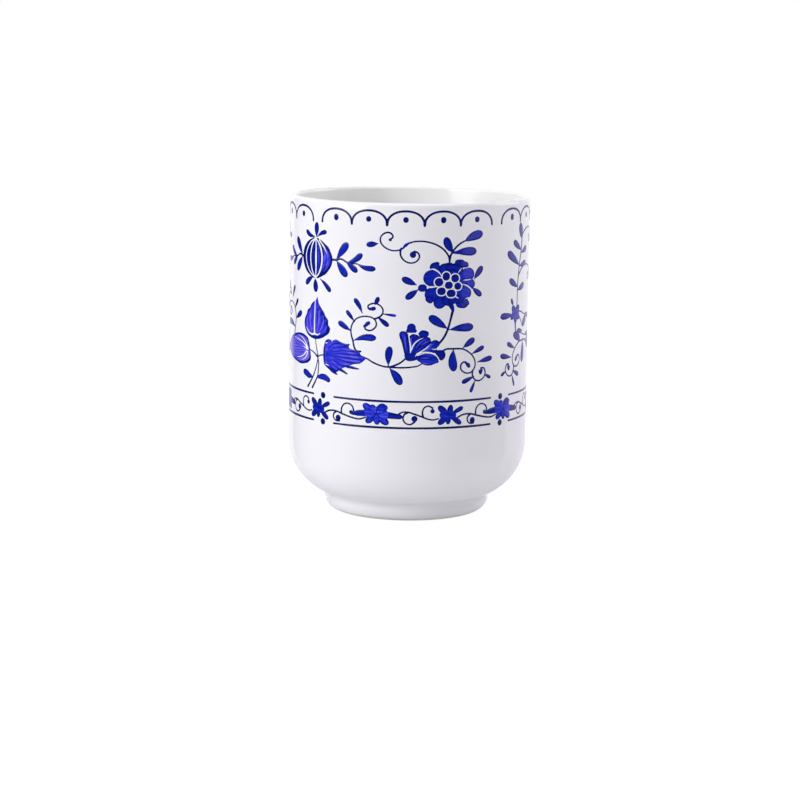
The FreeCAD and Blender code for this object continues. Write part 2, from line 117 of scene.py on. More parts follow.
# How the ink is laid down
GRID_STEP = 0.15
STROKE_STEP = 0.8 * GRID_STEP
PETAL_STEP = 0.6 * GRID_STEP
PATCH_STEP = 1.5 * GRID_STEP
FILM_THICKNESS = 0.045
FILM_SHOULDER = 0.30
FILM_SEAT = 0.01
LINE_WIDTH = 0.5
RULE_WIDTH = 0.6
INK_SPREAD = 0.02
RIM_WIDTH = 0.6
RIM_SHARE = 0.7
PETAL_TAIL = 0.14
PETAL_EARLIEST_BELLY = 0.45
PETAL_END_SHARE = 0.62
LANE_POWER = 0.75
SEED_RING = 0.3
HAIRS_PER_MM = 5.0
MOTTLES_PER_MM = 1.3
MOTTLE_SEED = 97
RIPPLE_WAVES = 4
CORNER_MARGIN = 0.08

# Darkness of the ink, from a pale wash at 0 to the darkest line at 1
PALE, WASH, MIDDLE, FILL, DARK, LINE = 0.12, 0.32, 0.48, 0.62, 0.80, 0.97

# The stage
STAGE_METRES = 4.0
FLOOR_STEPS = 96
HIDDEN_MARGIN = 0.8
FLOOR_GLOW = 0.62
CAMERA_ROLL = 0.0141


# Drawing sheets

def smooth_curve(points, spacing):
    """Even steps along a smooth curve through the points, and each step's share of it."""
    points = np.array(points, float)
    gaps = np.linalg.norm(np.diff(points, axis=0), axis=1)
    knots = np.concatenate([[0.0], np.cumsum(gaps)])
    slopes = np.gradient(points, knots, axis=0)
    count = max(3, int(knots[-1] / spacing) + 2)
    place = np.linspace(0.0, knots[-1], count)
    span = np.clip(np.searchsorted(knots, place, side="right") - 1, 0, len(gaps) - 1)
    gap = gaps[span]
    share = ((place - knots[span]) / gap)[:, None]
    gap = gap[:, None]
    start, end = points[span], points[span + 1]
    start_slope, end_slope = slopes[span] * gap, slopes[span + 1] * gap
    curve = (
        (2 * share**3 - 3 * share**2 + 1) * start
        + (share**3 - 2 * share**2 + share) * start_slope
        + (3 * share**2 - 2 * share**3) * end
        + (share**3 - share**2) * end_slope
    )
    return curve, place / knots[-1]


def closed_curve(points, spacing):
    """Even steps round a smooth closed curve through the points."""
    points = [tuple(point) for point in points]
    lap = points[-2:] + points + points[:3]
    curve, share = smooth_curve(lap, spacing)
    gaps = np.linalg.norm(np.diff(np.array(lap, float), axis=0), axis=1)
    travelled = np.concatenate([[0.0], np.cumsum(gaps)]) / gaps.sum()
    once_round = (share >= travelled[2]) & (share < travelled[2 + len(points)])
    return curve[once_round]


def ripple(values, seed):
    """Smooth irregular variation between about -1 and 1, the same for the same seed."""
    draw = np.random.default_rng(seed)
    total = np.zeros_like(values)
    for wave in range(RIPPLE_WAVES):
        pitch = (wave + 1) * draw.uniform(0.8, 1.25)
        total = total + np.sin(values * pitch + draw.uniform(0, 2 * math.pi)) / (wave + 1)
    return total / 1.6


def brush(points, widths):
    """Even steps along a stroke, each step's share of its length, and the half width there."""
    spine, share = smooth_curve(points, STROKE_STEP)
    widths = np.atleast_1d(np.array(widths, float))
    return spine, share, np.interp(share, np.linspace(0, 1, len(widths)), widths) / 2


class Sheet:
    """A stretch of the unrolled wall that strokes are painted on."""

    def __init__(self, left, right, low, high):
        self.u = np.arange(left, right + GRID_STEP, GRID_STEP)
        self.z = np.arange(low, high + GRID_STEP, GRID_STEP)
        self.cover = np.full((len(self.z), len(self.u)), -1.0)
        self.tone = np.full((len(self.z), len(self.u)), MIDDLE)
        self.strokes = 0

    def window(self, spine, radius):
        """The part of the grid that a stroke can reach, and its places."""
        margin = radius + 3 * GRID_STEP
        low = spine.min(0) - margin
        high = spine.max(0) + margin
        columns = slice(*np.searchsorted(self.u, (low[0], high[0])))
        rows = slice(*np.searchsorted(self.z, (low[1], high[1])))
        return (rows, columns), self.u[columns][None, :], self.z[rows][:, None]

    def reach(self, spine, radii):
        """The window, how far its places lie inside the stroke, the nearest step, and the side."""
        place, grid_u, grid_z = self.window(spine, radii.max())
        best = np.full((grid_z.shape[0], grid_u.shape[1]), -np.inf)
        nearest = np.zeros(best.shape, int)
        for step, (u, z) in enumerate(spine):
            inside = radii[step] - np.hypot(grid_u - u, grid_z - z)
            closer = inside > best
            best = np.where(closer, inside, best)
            nearest = np.where(closer, step, nearest)
        heading = np.gradient(spine, axis=0)
        heading = heading / np.maximum(np.linalg.norm(heading, axis=1), 1e-9)[:, None]
        du = grid_u - spine[nearest, 0]
        dz = grid_z - spine[nearest, 1]
        side = heading[nearest, 0] * dz - heading[nearest, 1] * du
        return place, best, nearest, side

    def stroke(self, points, widths, tone, rim=0.0, streak=0.0):
        """One brush stroke: `rim` darkens its edge and `streak` varies it."""
        self.lay(*brush(points, widths), tone, rim, streak)

    def petal(self, base, tip, width, tone, rim=0.28, streak=0.08, bend=0.0, fade=0.0):
        """Drop-shaped stroke, thin at the base and round at the tip, where `fade` makes it paler."""
        base, tip = np.array(base, float), np.array(tip, float)
        across = np.array([base[1] - tip[1], tip[0] - base[0]])
        middle = (base + tip) / 2 + across * bend
        spine, share = smooth_curve([base, middle, tip], PETAL_STEP)
        length = np.linalg.norm(tip - base)
        widest = max(PETAL_EARLIEST_BELLY, 1 - PETAL_END_SHARE * width / length)
        swell = np.sin(np.minimum(share / widest, 1) * math.pi / 2) ** 0.95
        past = np.maximum(share - widest, 0) / (1 - widest)
        radii = np.maximum(PETAL_TAIL, swell * width / 2) * np.sqrt(np.maximum(0.0, 1 - past**2))
        self.lay(spine, share, radii, tone, rim, streak, fade)

    def dot(self, centre, width, tone, height=None):
        """Round or upright spot."""
        rise = ((height or width) - width) / 2
        points = [(centre[0], centre[1] - rise), (centre[0], centre[1] + rise + 0.01)]
        self.stroke(points, width, tone, rim=0.15)

    def lay(self, spine, share, radii, tone, rim, streak, fade=0.0):
        """Paint the swept discs over what is already on the sheet."""
        self.strokes += 1
        radii = radii + INK_SPREAD
        place, best, nearest, side = self.reach(spine, radii)
        length = np.linalg.norm(np.diff(spine, axis=0), axis=1).sum()
        rim_width = np.minimum(RIM_WIDTH, RIM_SHARE * np.maximum(radii[nearest], 0.1))
        along = share[nearest]
        self.shade(place, best, side, along * length, tone - fade * along**2, rim, streak, rim_width)

    def shade(self, place, best, side, along, tone, rim, streak, rim_width):
        """Set the darkness of newly inked places: pooled at the rim, streaked along the brush."""
        edge = np.clip(1 - best / rim_width, 0, 1)
        wander = ripple(side * HAIRS_PER_MM + 0.6 * np.sin(along + self.strokes), self.strokes)
        mottle = ripple(along * MOTTLES_PER_MM + side, self.strokes + MOTTLE_SEED)
        shade = np.clip(tone + rim * edge + streak * (wander + 0.5 * mottle), 0.0, 1.0)
        cover, old_tone = self.cover[place], self.tone[place]
        fresh = (best > 0) | ((best > -2 * GRID_STEP) & (best > cover))
        self.tone[place] = np.where(fresh, shade, old_tone)
        self.cover[place] = np.maximum(cover, best)

    def patch(self, points, tone, rim, streak, grain):
        """Area inside a smooth closed curve, brushed along the direction of `grain`."""
        self.strokes += 1
        ring = closed_curve(points, PATCH_STEP)
        place, grid_u, grid_z = self.window(ring, 0.0)
        inside = np.zeros((grid_z.shape[0], grid_u.shape[1]), bool)
        away = np.full(inside.shape, np.inf)
        for start, end in zip(ring, np.roll(ring, -1, axis=0)):
            run = end - start
            du, dz = grid_u - start[0], grid_z - start[1]
            share = np.clip((du * run[0] + dz * run[1]) / run.dot(run), 0, 1)
            away = np.minimum(away, np.hypot(du - share * run[0], dz - share * run[1]))
            if start[1] != end[1]:
                spans = (grid_z >= min(start[1], end[1])) & (grid_z < max(start[1], end[1]))
                inside ^= spans & (grid_u < start[0] + dz / run[1] * run[0])
        best = np.where(inside, away, -away)
        side = grain[0] * grid_z - grain[1] * grid_u
        along = grain[0] * grid_u + grain[1] * grid_z
        self.shade(place, best, side, along, tone, rim, streak, RIM_WIDTH)

    def tint(self, points, widths, tone, strength=1.0):
        """Change how dark the ink is along a stroke, without inking any more of the wall."""
        spine, _, radii = brush(points, widths)
        place, best, nearest, _ = self.reach(spine, radii)
        amount = strength * np.clip(best / np.maximum(0.5 * radii[nearest], 0.08), 0, 1)
        self.tone[place] += amount * (tone - self.tone[place])

    def reserve(self, points, widths):
        """Leave a line of bare glaze, as a thin gap between inked areas."""
        spine, _, radii = brush(points, widths)
        place, best, _, _ = self.reach(spine, radii)
        self.cover[place] = np.minimum(self.cover[place], -best)

    def edge_points(self, inside, down, right, first_vertex):
        """Where the ink's edge crosses the grid lines that run one step down or to the right."""
        here = inside[: inside.shape[0] - down, : inside.shape[1] - right]
        crossed = here != inside[down:, right:]
        row, column = np.nonzero(crossed)
        first = self.cover[row, column].clip(max=0.5)
        second = self.cover[row + down, column + right].clip(max=0.5)
        drop = np.where(first == second, 1.0, first - second)
        cut = np.clip(first / drop, CORNER_MARGIN, 1 - CORNER_MARGIN)
        u = self.u[column] + cut * right * GRID_STEP
        z = self.z[row] + cut * down * GRID_STEP
        tone = np.where(first > 0, self.tone[row, column], self.tone[row + down, column + right])
        number = np.full(crossed.shape, -1)
        number[crossed] = first_vertex + np.arange(len(row))
        return number, np.stack([u, z], 1), tone

    def outline(self):
        """Flat film of the inked areas: its upper and lower places, its edge, and its faces."""
        inside = self.cover > 0
        inside[0, :] = inside[-1, :] = False
        inside[:, 0] = inside[:, -1] = False
        count = int(inside.sum())
        node = np.full(inside.shape, -1)
        node[inside] = np.arange(count)
        rows, columns = np.nonzero(inside)
        place = np.stack([self.u[columns], self.z[rows]], 1)
        tone = self.tone[rows, columns]
        depth = self.cover[rows, columns]
        level, level_place, level_tone = self.edge_points(inside, 0, 1, 2 * count)
        start = 2 * count + len(level_place)
        upright, upright_place, upright_tone = self.edge_points(inside, 1, 0, start)
        corners = [inside[:-1, :-1], inside[:-1, 1:], inside[1:, 1:], inside[1:, :-1]]
        filled = np.logical_and.reduce(corners)
        touched = np.logical_or.reduce(corners)
        row, column = np.nonzero(filled)
        upper = [node[row, column], node[row, column + 1]]
        lower = [node[row + 1, column + 1], node[row + 1, column]]
        faces = np.stack(upper + lower, 1).tolist()
        for row, column in zip(*np.nonzero(touched & ~filled)):
            walk = (
                node[row, column], level[row, column],
                node[row, column + 1], upright[row, column + 1],
                node[row + 1, column + 1], level[row + 1, column],
                node[row + 1, column], upright[row, column],
            )
            faces.append([int(vertex) for vertex in walk if vertex >= 0])
        edge = np.zeros(len(level_place) + len(upright_place))
        return {
            "inner": count,
            "places": np.concatenate([place, place, level_place, upright_place]),
            "tones": np.concatenate([tone, tone, level_tone, upright_tone]),
            "depths": np.concatenate([depth, depth, edge]),
            "faces": faces,
        }


def add_piece(name, node, material, vertices, faces):
    """Smooth mesh that stands for a CAD node and rides on the cup; vertices in metres."""
    mesh = bpy.data.meshes.new(name)
    mesh.from_pydata(vertices, [], faces)
    mesh.polygons.foreach_set("use_smooth", [True] * len(mesh.polygons))
    mesh.materials.append(material)
    piece = bpy.data.objects.new(name, mesh)
    bpy.context.scene.collection.objects.link(piece)
    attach(piece, "root")
    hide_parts(node)
    return mesh


def film_object(name, node, material, placed_sheets):
    """One piece of print: every copy of every sheet, wrapped round the glazed wall."""
    vertices, tones, faces = [], [], []
    offset = 0
    for sheet, copies in placed_sheets:
        flat = sheet.outline()
        inner = flat["inner"]
        rise = FILM_THICKNESS * np.sin(np.clip(flat["depths"] / FILM_SHOULDER, 0, 1) * math.pi / 2)
        rise[inner : 2 * inner] = -FILM_SEAT
        radius = GLAZED_RADIUS + rise
        for shift, mirror_axis, paler in copies:
            u, z = flat["places"].T
            if mirror_axis is not None:
                u = 2 * mirror_axis - u
            angle = (u + shift) / PRINT_RADIUS
            vertices.append(np.stack([radius * np.sin(angle), -radius * np.cos(angle), z], 1))
            tones.append(np.clip(flat["tones"] - paler, 0, 1))
            for face in flat["faces"]:
                front = [vertex + offset for vertex in face]
                back = [vertex + inner + offset if vertex < inner else vertex + offset for vertex in face]
                if mirror_axis is None:
                    back.reverse()
                else:
                    front.reverse()
                faces += [front, back]
            offset += len(u)
    places = (np.concatenate(vertices) / METRE).tolist()
    mesh = add_piece(name, node, material, places, faces)
    attribute = mesh.attributes.new("tone", "FLOAT", "POINT")
    attribute.data.foreach_set("value", np.concatenate(tones).astype(np.float32))


def once(shift=0.0, mirror=None, paler=0.0):
    """One place for a sheet: moved round the wall, mirrored, or a little paler."""
    return (shift, mirror, paler)


# Borders

def round_panels(make, centre):
    """A border sheet for the wider front panel, and one for the three others, all in place."""
    aside = (FRONT_PANEL + SIDE_PANEL) / 2
    others = [once(centre - aside, paler=0.02), once(centre + aside, paler=0.02), once(centre + HALF_TURN)]
    return [(make(FRONT_PANEL), [once(centre)]), (make(SIDE_PANEL), others)]


def arch_border(pitch):
    """Five linked arches, each a line of even width with a small foot, centred on u = 0."""
    width = pitch - PANEL_GAP
    span = width / ARCHES_PER_PANEL
    sheet = Sheet(-width / 2 - 1.5, width / 2 + 1.5, ARCH_FOOT - 1.5, ARCH_TOP + 1.5)
    turn = np.linspace(math.pi, 0, 13)
    reach = np.sign(np.cos(turn)) * np.abs(np.cos(turn)) ** 0.92
    rise = np.sin(turn) ** 0.9
    for index in range(ARCHES_PER_PANEL):
        start = index * span - width / 2
        points = np.stack([start + span / 2 * (1 + reach), ARCH_FOOT + (ARCH_TOP - ARCH_FOOT) * rise], 1)
        sheet.stroke(points, [0.66, 0.54, 0.58, 0.54, 0.66], LINE - 0.02, streak=0.03)
    return sheet


def arch_dots(pitch):
    """One dot under every arch of a panel, each a little different in height and place."""
    span = (pitch - PANEL_GAP) / ARCHES_PER_PANEL
    half = ARCHES_PER_PANEL // 2
    sheet = Sheet(-half * span - 2, half * span + 2, BORDER_DOT_HEIGHT - 2, BORDER_DOT_HEIGHT + 2)
    for index in range(-half, half + 1):
        height = 1.5 + 0.2 * math.sin(2.4 * index)
        place = (index * span + 0.1 * math.sin(1.7 * index), BORDER_DOT_HEIGHT)
        sheet.dot(place, BORDER_DOT_WIDTH, DARK + 0.05, height)
    return sheet


def rules(pitch):
    """The lines above and below the flower band along one panel, hardly bent."""
    half = (pitch - RULE_GAP) / 2
    sheet = Sheet(-half - 1, half + 1, BAND_BOTTOM - 1, BAND_TOP + 1)
    for height, sag in ((BAND_TOP, -0.05), (BAND_BOTTOM, 0.04)):
        points = [(side * half, height + (1 - side * side) * sag) for side in (-1, -0.3, 0.4, 1)]
        sheet.stroke(points, [0.5, RULE_WIDTH, 0.52, RULE_WIDTH, 0.52], LINE, streak=0.03)
    return sheet


def rule_dots(pitch):
    """The two dots at a panel's right edge."""
    sheet = Sheet(pitch / 2 - 2, pitch / 2 + 2, BAND_BOTTOM - 2, BAND_TOP + 2)
    for height in (BAND_TOP, BAND_BOTTOM):
        sheet.dot((pitch / 2, height), DOT_WIDTH, DARK + 0.1)
    return sheet


# Flower band

def curl(sheet, points, bead, bead_width):
    """Thin line that winds into a round bead."""
    sheet.stroke(points, [LINE_WIDTH, 0.42, 0.38, 0.46], LINE, streak=0.04)
    sheet.dot(bead, bead_width, DARK)


def star_and_vine():
    """Six-petalled star, then the wavy stem and two curls that follow it."""
    sheet = Sheet(6.0, 28.5, BAND_BOTTOM + 0.3, BAND_TOP - 0.3)
    sheet.stroke([(13.4, 30.2), (15.0, 31.0), (17.0, 31.2), (20.0, 30.5), (22.5, 29.9), (24.6, 29.7),
                  (26.4, 30.2)], [0.45, 0.48, 0.42], LINE)
    curl(sheet, [(17.5, 31.0), (16.7, 30.3), (16.7, 29.3), (17.5, 28.6), (18.6, 28.6)], (18.2, 29.4), 1.6)
    curl(sheet, [(19.2, 30.7), (19.3, 32.2), (20.1, 33.3), (21.3, 33.6), (22.6, 32.9), (23.0, 31.7)],
         (22.2, 31.3), 1.1)
    petals = (
        ((8.5, 33.4), 1.75), ((11.8, 33.6), 1.6), ((15.1, 33.0), 1.25), ((8.5, 29.0), 1.7),
        ((11.0, 28.9), 1.4), ((14.6, 28.8), 1.45),
    )
    for tip, width in petals:
        sheet.petal((11.2, 31.1), tip, width, FILL + 0.06, rim=0.36)
    sheet.stroke([(9.6, 31.2), (12.4, 31.0)], [2.0, 2.4, 1.9], FILL, streak=0.16)
    return sheet


def cluster(sheet):
    """Long petal on each side of a knot of broad lobes."""
    centre = (-8.4, 31.3)
    sheet.stroke([(-15.3, 31.0), (-13.9, 31.2), (-11.4, 31.4)], [0.7, 1.6, 1.8], FILL + 0.1, rim=0.2,
                 streak=0.1)
    sheet.stroke([(-5.6, 31.2), (-3.8, 31.0), (-2.0, 30.8)], [1.8, 1.6, 1.3], FILL + 0.12, rim=0.2,
                 streak=0.1)
    lobes = (
        ((-11.7, 33.6), 2.0, 0.04), ((-9.5, 33.5), 1.8, -0.02), ((-6.3, 33.7), 2.4, 0.0),
        ((-10.9, 29.1), 1.9, 0.02), ((-8.0, 28.8), 1.9, -0.04), ((-5.3, 28.9), 2.0, 0.06),
    )
    for tip, width, change in lobes:
        sheet.petal(centre, tip, width, MIDDLE - 0.06 + change, rim=0.5, streak=0.16)
    sheet.stroke([(-10.3, 31.5), (-6.4, 31.3)], [2.6, 3.2, 2.8], WASH + 0.06, streak=0.24)
    sheet.stroke([(-7.4, 33.0), (-6.0, 33.1)], 1.6, FILL + 0.04, streak=0.15)
    for tip in ((-10.6, 32.8), (-7.9, 33.2), (-9.8, 29.8), (-6.4, 29.9), (-5.4, 32.2)):
        sheet.tint([centre, tip], [0.3, 0.55, 0.3], DARK + 0.05, 0.8)
    sheet.tint([(-9.6, 32.5), (-9.1, 31.2)], 0.9, WASH, 0.6)
    sheet.tint([(-6.7, 32.5), (-6.9, 30.6)], 0.9, WASH, 0.6)


def cluster_and_vine():
    """Cluster flower, then its wavy stem with a curl below and a curl above."""
    sheet = Sheet(-17.0, 9.5, BAND_BOTTOM + 0.3, BAND_TOP - 0.3)
    sheet.stroke([(-2.5, 31.4), (-1.4, 32.0), (0.0, 32.1), (1.8, 31.6), (4.0, 30.8), (5.6, 30.2),
                  (7.0, 30.0), (8.3, 30.3)], [0.4, 0.44, 0.36], LINE)
    curl(sheet, [(0.2, 32.0), (-0.8, 31.4), (-1.1, 30.2), (-0.4, 29.1), (0.8, 28.8), (1.9, 29.4)],
         (1.9, 30.3), 1.6)
    curl(sheet, [(4.2, 30.8), (4.0, 32.1), (4.5, 33.3), (5.6, 33.7), (6.7, 33.2)], (6.7, 32.3), 1.15)
    cluster(sheet)
    return sheet


def cluster_at_join():
    """Cluster flower with a short stem, where two clusters stand side by side at the back."""
    sheet = Sheet(-17.0, 6.0, BAND_BOTTOM + 0.3, BAND_TOP - 0.3)
    stem = [(-2.5, 31.3), (-0.9, 31.9), (1.0, 31.8), (2.6, 31.3), (4.0, 31.3)]
    sheet.stroke(stem, [0.4, 0.44, 0.36], LINE)
    curl(sheet, [(0.2, 31.8), (-0.6, 31.0), (-0.6, 29.9), (0.4, 29.1), (1.5, 29.3)], (1.5, 30.1), 1.4)
    cluster(sheet)
    return sheet


def flower_band():
    """Star and cluster in turn, an odd number of flowers in all."""
    pairs_each_side = FLOWERS_IN_BAND // 4
    turns = []
    for index in range(-pairs_each_side, pairs_each_side + 1):
        turns.append(once(2 * index * FLOWER_PITCH, paler=-0.07 * (index % 2)))
    join = [once(2 * (pairs_each_side + 1) * FLOWER_PITCH)]
    return [(star_and_vine(), turns), (cluster_and_vine(), turns), (cluster_at_join(), join)]


# Striped fruit

def lane(base, tip, sway, start=0.0, end=1.0):
    """Curve from base to tip that swings out to one side by `sway`, as a rib of a round form."""
    base, tip = np.array(base, float), np.array(tip, float)
    across = np.array([tip[1] - base[1], base[0] - tip[0]]) / np.linalg.norm(tip - base)
    share = np.linspace(start, end, 11)
    swing = (2 * share) ** LANE_POWER * (2 * (1 - share)) ** LANE_POWER
    return base + np.outer(share, tip - base) + np.outer(swing * sway, across)


def fruit():
    """Round fruit in lengthwise stripes between a crown and a tail of petals."""
    sheet = Sheet(FRUIT_AXIS - 8, FRUIT_AXIS + 8, 61.5, 82.0)
    bottom, top = (FRUIT_AXIS, 66.1), (FRUIT_AXIS, 76.6)
    rib = lane(bottom, top, 4.5, 0.05, 0.9)
    sheet.stroke(rib, [0.5, 2.4, 3.3, 3.1, 0.5], WASH - 0.02, rim=0.25, streak=0.2)
    stripes = (
        (1.4, 1.85, MIDDLE - 0.06), (-5.35, 1.45, DARK + 0.06), (-3.3, 1.75, DARK), (-1.1, 1.75, DARK),
        (6.05, 0.7, DARK + 0.12),
    )
    for sway, width, tone in stripes:
        rib = lane(bottom, top, sway, 0.02, 0.98)
        sheet.stroke(rib, [0.7, width * 0.95, width, width * 0.95, 0.7], tone, rim=0.15, streak=0.1)
    veins = (
        (0.75, 0.02, 0.97, 0.5), (2.05, 0.03, 0.98, 0.5), (3.3, 0.6, 0.99, 0.7), (4.4, 0.66, 0.98, 0.5),
        (3.0, 0.02, 0.4, 0.6), (4.4, 0.06, 0.34, 0.5),
    )
    for sway, start, end, width in veins:
        sheet.stroke(lane(bottom, top, sway, start, end), [0.4, width, width * 0.8, 0.3], DARK + 0.1)
    for sway, width in ((-4.35, 0.34), (-2.2, 0.42), (0.2, 0.46), (2.6, 0.5)):
        sheet.reserve(lane(bottom, top, sway), [0.3, width, width, width, 0.3])
    sheet.reserve([(-26.9, 76.3), (-25.9, 75.4), (-24.9, 74.4), (-23.9, 72.9)], [0.4, 0.4, 0.15])
    crown = (
        ((-28.0, 77.1), (-27.9, 80.6), 1.8, 0.0), ((-28.7, 77.0), (-32.5, 78.3), 1.35, 0.1),
        ((-27.6, 77.1), (-24.2, 78.6), 1.2, 0.08), ((-28.4, 65.7), (-28.1, 62.6), 1.95, 0.0),
        ((-29.3, 66.3), (-32.6, 64.2), 1.6, -0.04), ((-26.3, 65.9), (-22.6, 63.0), 1.4, 0.04),
    )
    for base, tip, width, bend in crown:
        sheet.petal(base, tip, width, DARK - 0.04, rim=0.2, bend=bend)
    return sheet


def fruit_twig():
    """Side twig: a pair of big leaves, a pair of small ones and an end leaf."""
    sheet = Sheet(-23.2, -7.5, 65.5, 78.0)
    sheet.stroke([(-21.7, 71.4), (-20.4, 71.5), (-19.4, 71.8), (-18.4, 71.6), (-17.4, 71.1), (-16.2, 70.9),
                  (-14.0, 70.8)], [0.65, 0.5, 0.42, 0.32], LINE)
    leaves = (
        ((-20.5, 71.7), (-17.2, 75.9), 2.15, FILL, 0.36, 0.0),
        ((-20.5, 71.2), (-17.4, 67.5), 2.15, FILL, 0.36, 0.0),
        ((-17.0, 71.0), (-12.9, 73.3), 1.65, FILL + 0.04, 0.3, -0.08),
        ((-17.5, 71.3), (-14.3, 68.8), 1.65, FILL + 0.04, 0.3, 0.0),
        ((-14.2, 70.8), (-9.2, 69.7), 1.5, FILL + 0.08, 0.26, -0.08),
    )
    for base, tip, width, tone, rim, bend in leaves:
        sheet.petal(base, tip, width, tone, rim=rim, bend=bend)
    return sheet


# Trefoil

def top_leaf(sheet):
    """Upright leaf with a white midrib, serrated sides and a scalloped base."""
    sheet.patch([(-27.5, 61.0), (-27.9, 60.3), (-28.9, 59.7), (-30.3, 58.5), (-30.6, 57.9), (-31.7, 57.2),
                 (-32.2, 56.1), (-33.1, 54.8), (-33.4, 53.4), (-33.0, 52.0), (-31.9, 50.7), (-30.2, 49.9),
                 (-28.3, 49.6), (-26.2, 49.9), (-24.2, 50.8), (-22.8, 51.9), (-22.5, 53.1), (-23.2, 54.0),
                 (-23.2, 55.1), (-24.2, 56.2), (-24.9, 57.3), (-25.9, 58.3), (-26.9, 59.5)], WASH, rim=0.55,
                streak=0.16, grain=(0.1, 1.0))
    sheet.tint([(-25.8, 51.6), (-25.2, 54.4), (-26.6, 58.4)], [2.0, 3.2, 1.2], MIDDLE, 0.6)
    for rise in (0.0, 1.3, 2.6, 3.9, 5.2):
        u, z = -22.7 - 0.62 * rise, 53.2 + rise
        sheet.tint([(u - 1.5, z - 1.3), (u - 0.3, z - 0.2), (u, z)], [0.15, 0.7, 1.3], DARK + 0.08)
    sheet.tint([(-33.3, 53.4), (-32.3, 56.0), (-30.7, 58.0), (-28.7, 59.8)], [1.2, 1.4, 1.4, 0.8],
               DARK + 0.04, 0.95)
    streaks = (
        ([(-29.2, 52.0), (-29.4, 55.0), (-29.0, 58.8)], FILL),
        ([(-27.3, 51.8), (-27.2, 55.0), (-27.5, 59.6)], FILL + 0.06),
        ([(-26.6, 52.0), (-25.8, 54.6), (-25.9, 57.4)], MIDDLE + 0.06),
        ([(-26.0, 51.6), (-24.4, 53.4), (-24.2, 55.2)], MIDDLE),
        ([(-30.4, 51.8), (-31.3, 54.0), (-31.2, 56.6)], MIDDLE + 0.06),
        ([(-31.2, 51.6), (-32.4, 53.2), (-32.3, 55.0)], MIDDLE),
    )
    for points, tone in streaks:
        sheet.tint(points, [0.25, 0.6, 0.3], tone, 0.8)
    edges = (
        [(-25.5, 59.0), (-24.9, 57.4), (-24.2, 56.4), (-23.4, 55.4)],
        [(-23.3, 54.6), (-22.9, 53.8), (-22.7, 52.6)],
        [(-33.2, 52.2), (-31.6, 50.5), (-29.4, 49.9), (-27.2, 49.9), (-24.6, 50.9), (-22.9, 52.4)],
    )
    for points in edges:
        sheet.tint(points, [0.9, 1.7, 1.8, 1.1], DARK + 0.08, 0.95)
    gaps = (
        ([(-28.55, 51.2), (-28.6, 53.5), (-28.5, 56.5), (-28.3, 60.0)], [0.55, 0.4, 0.36, 0.26]),
        ([(-28.6, 51.0), (-29.6, 50.8), (-31.0, 51.2), (-32.3, 52.4)], [0.55, 0.36, 0.18]),
        ([(-28.4, 51.0), (-27.2, 50.9), (-26.2, 51.4)], [0.5, 0.34, 0.16]),
    )
    for points, widths in gaps:
        sheet.reserve(points, widths)
    veins = (
        [(-29.8, 51.9), (-30.5, 54.0), (-30.4, 57.2)], [(-30.9, 51.7), (-31.8, 53.2), (-31.9, 55.2)],
        [(-27.4, 51.8), (-26.7, 54.6), (-26.6, 58.2)], [(-26.4, 51.8), (-25.2, 53.8), (-24.9, 56.0)],
    )
    for points in veins:
        sheet.tint(points, [0.3, 0.55, 0.2], 0.0, 0.95)


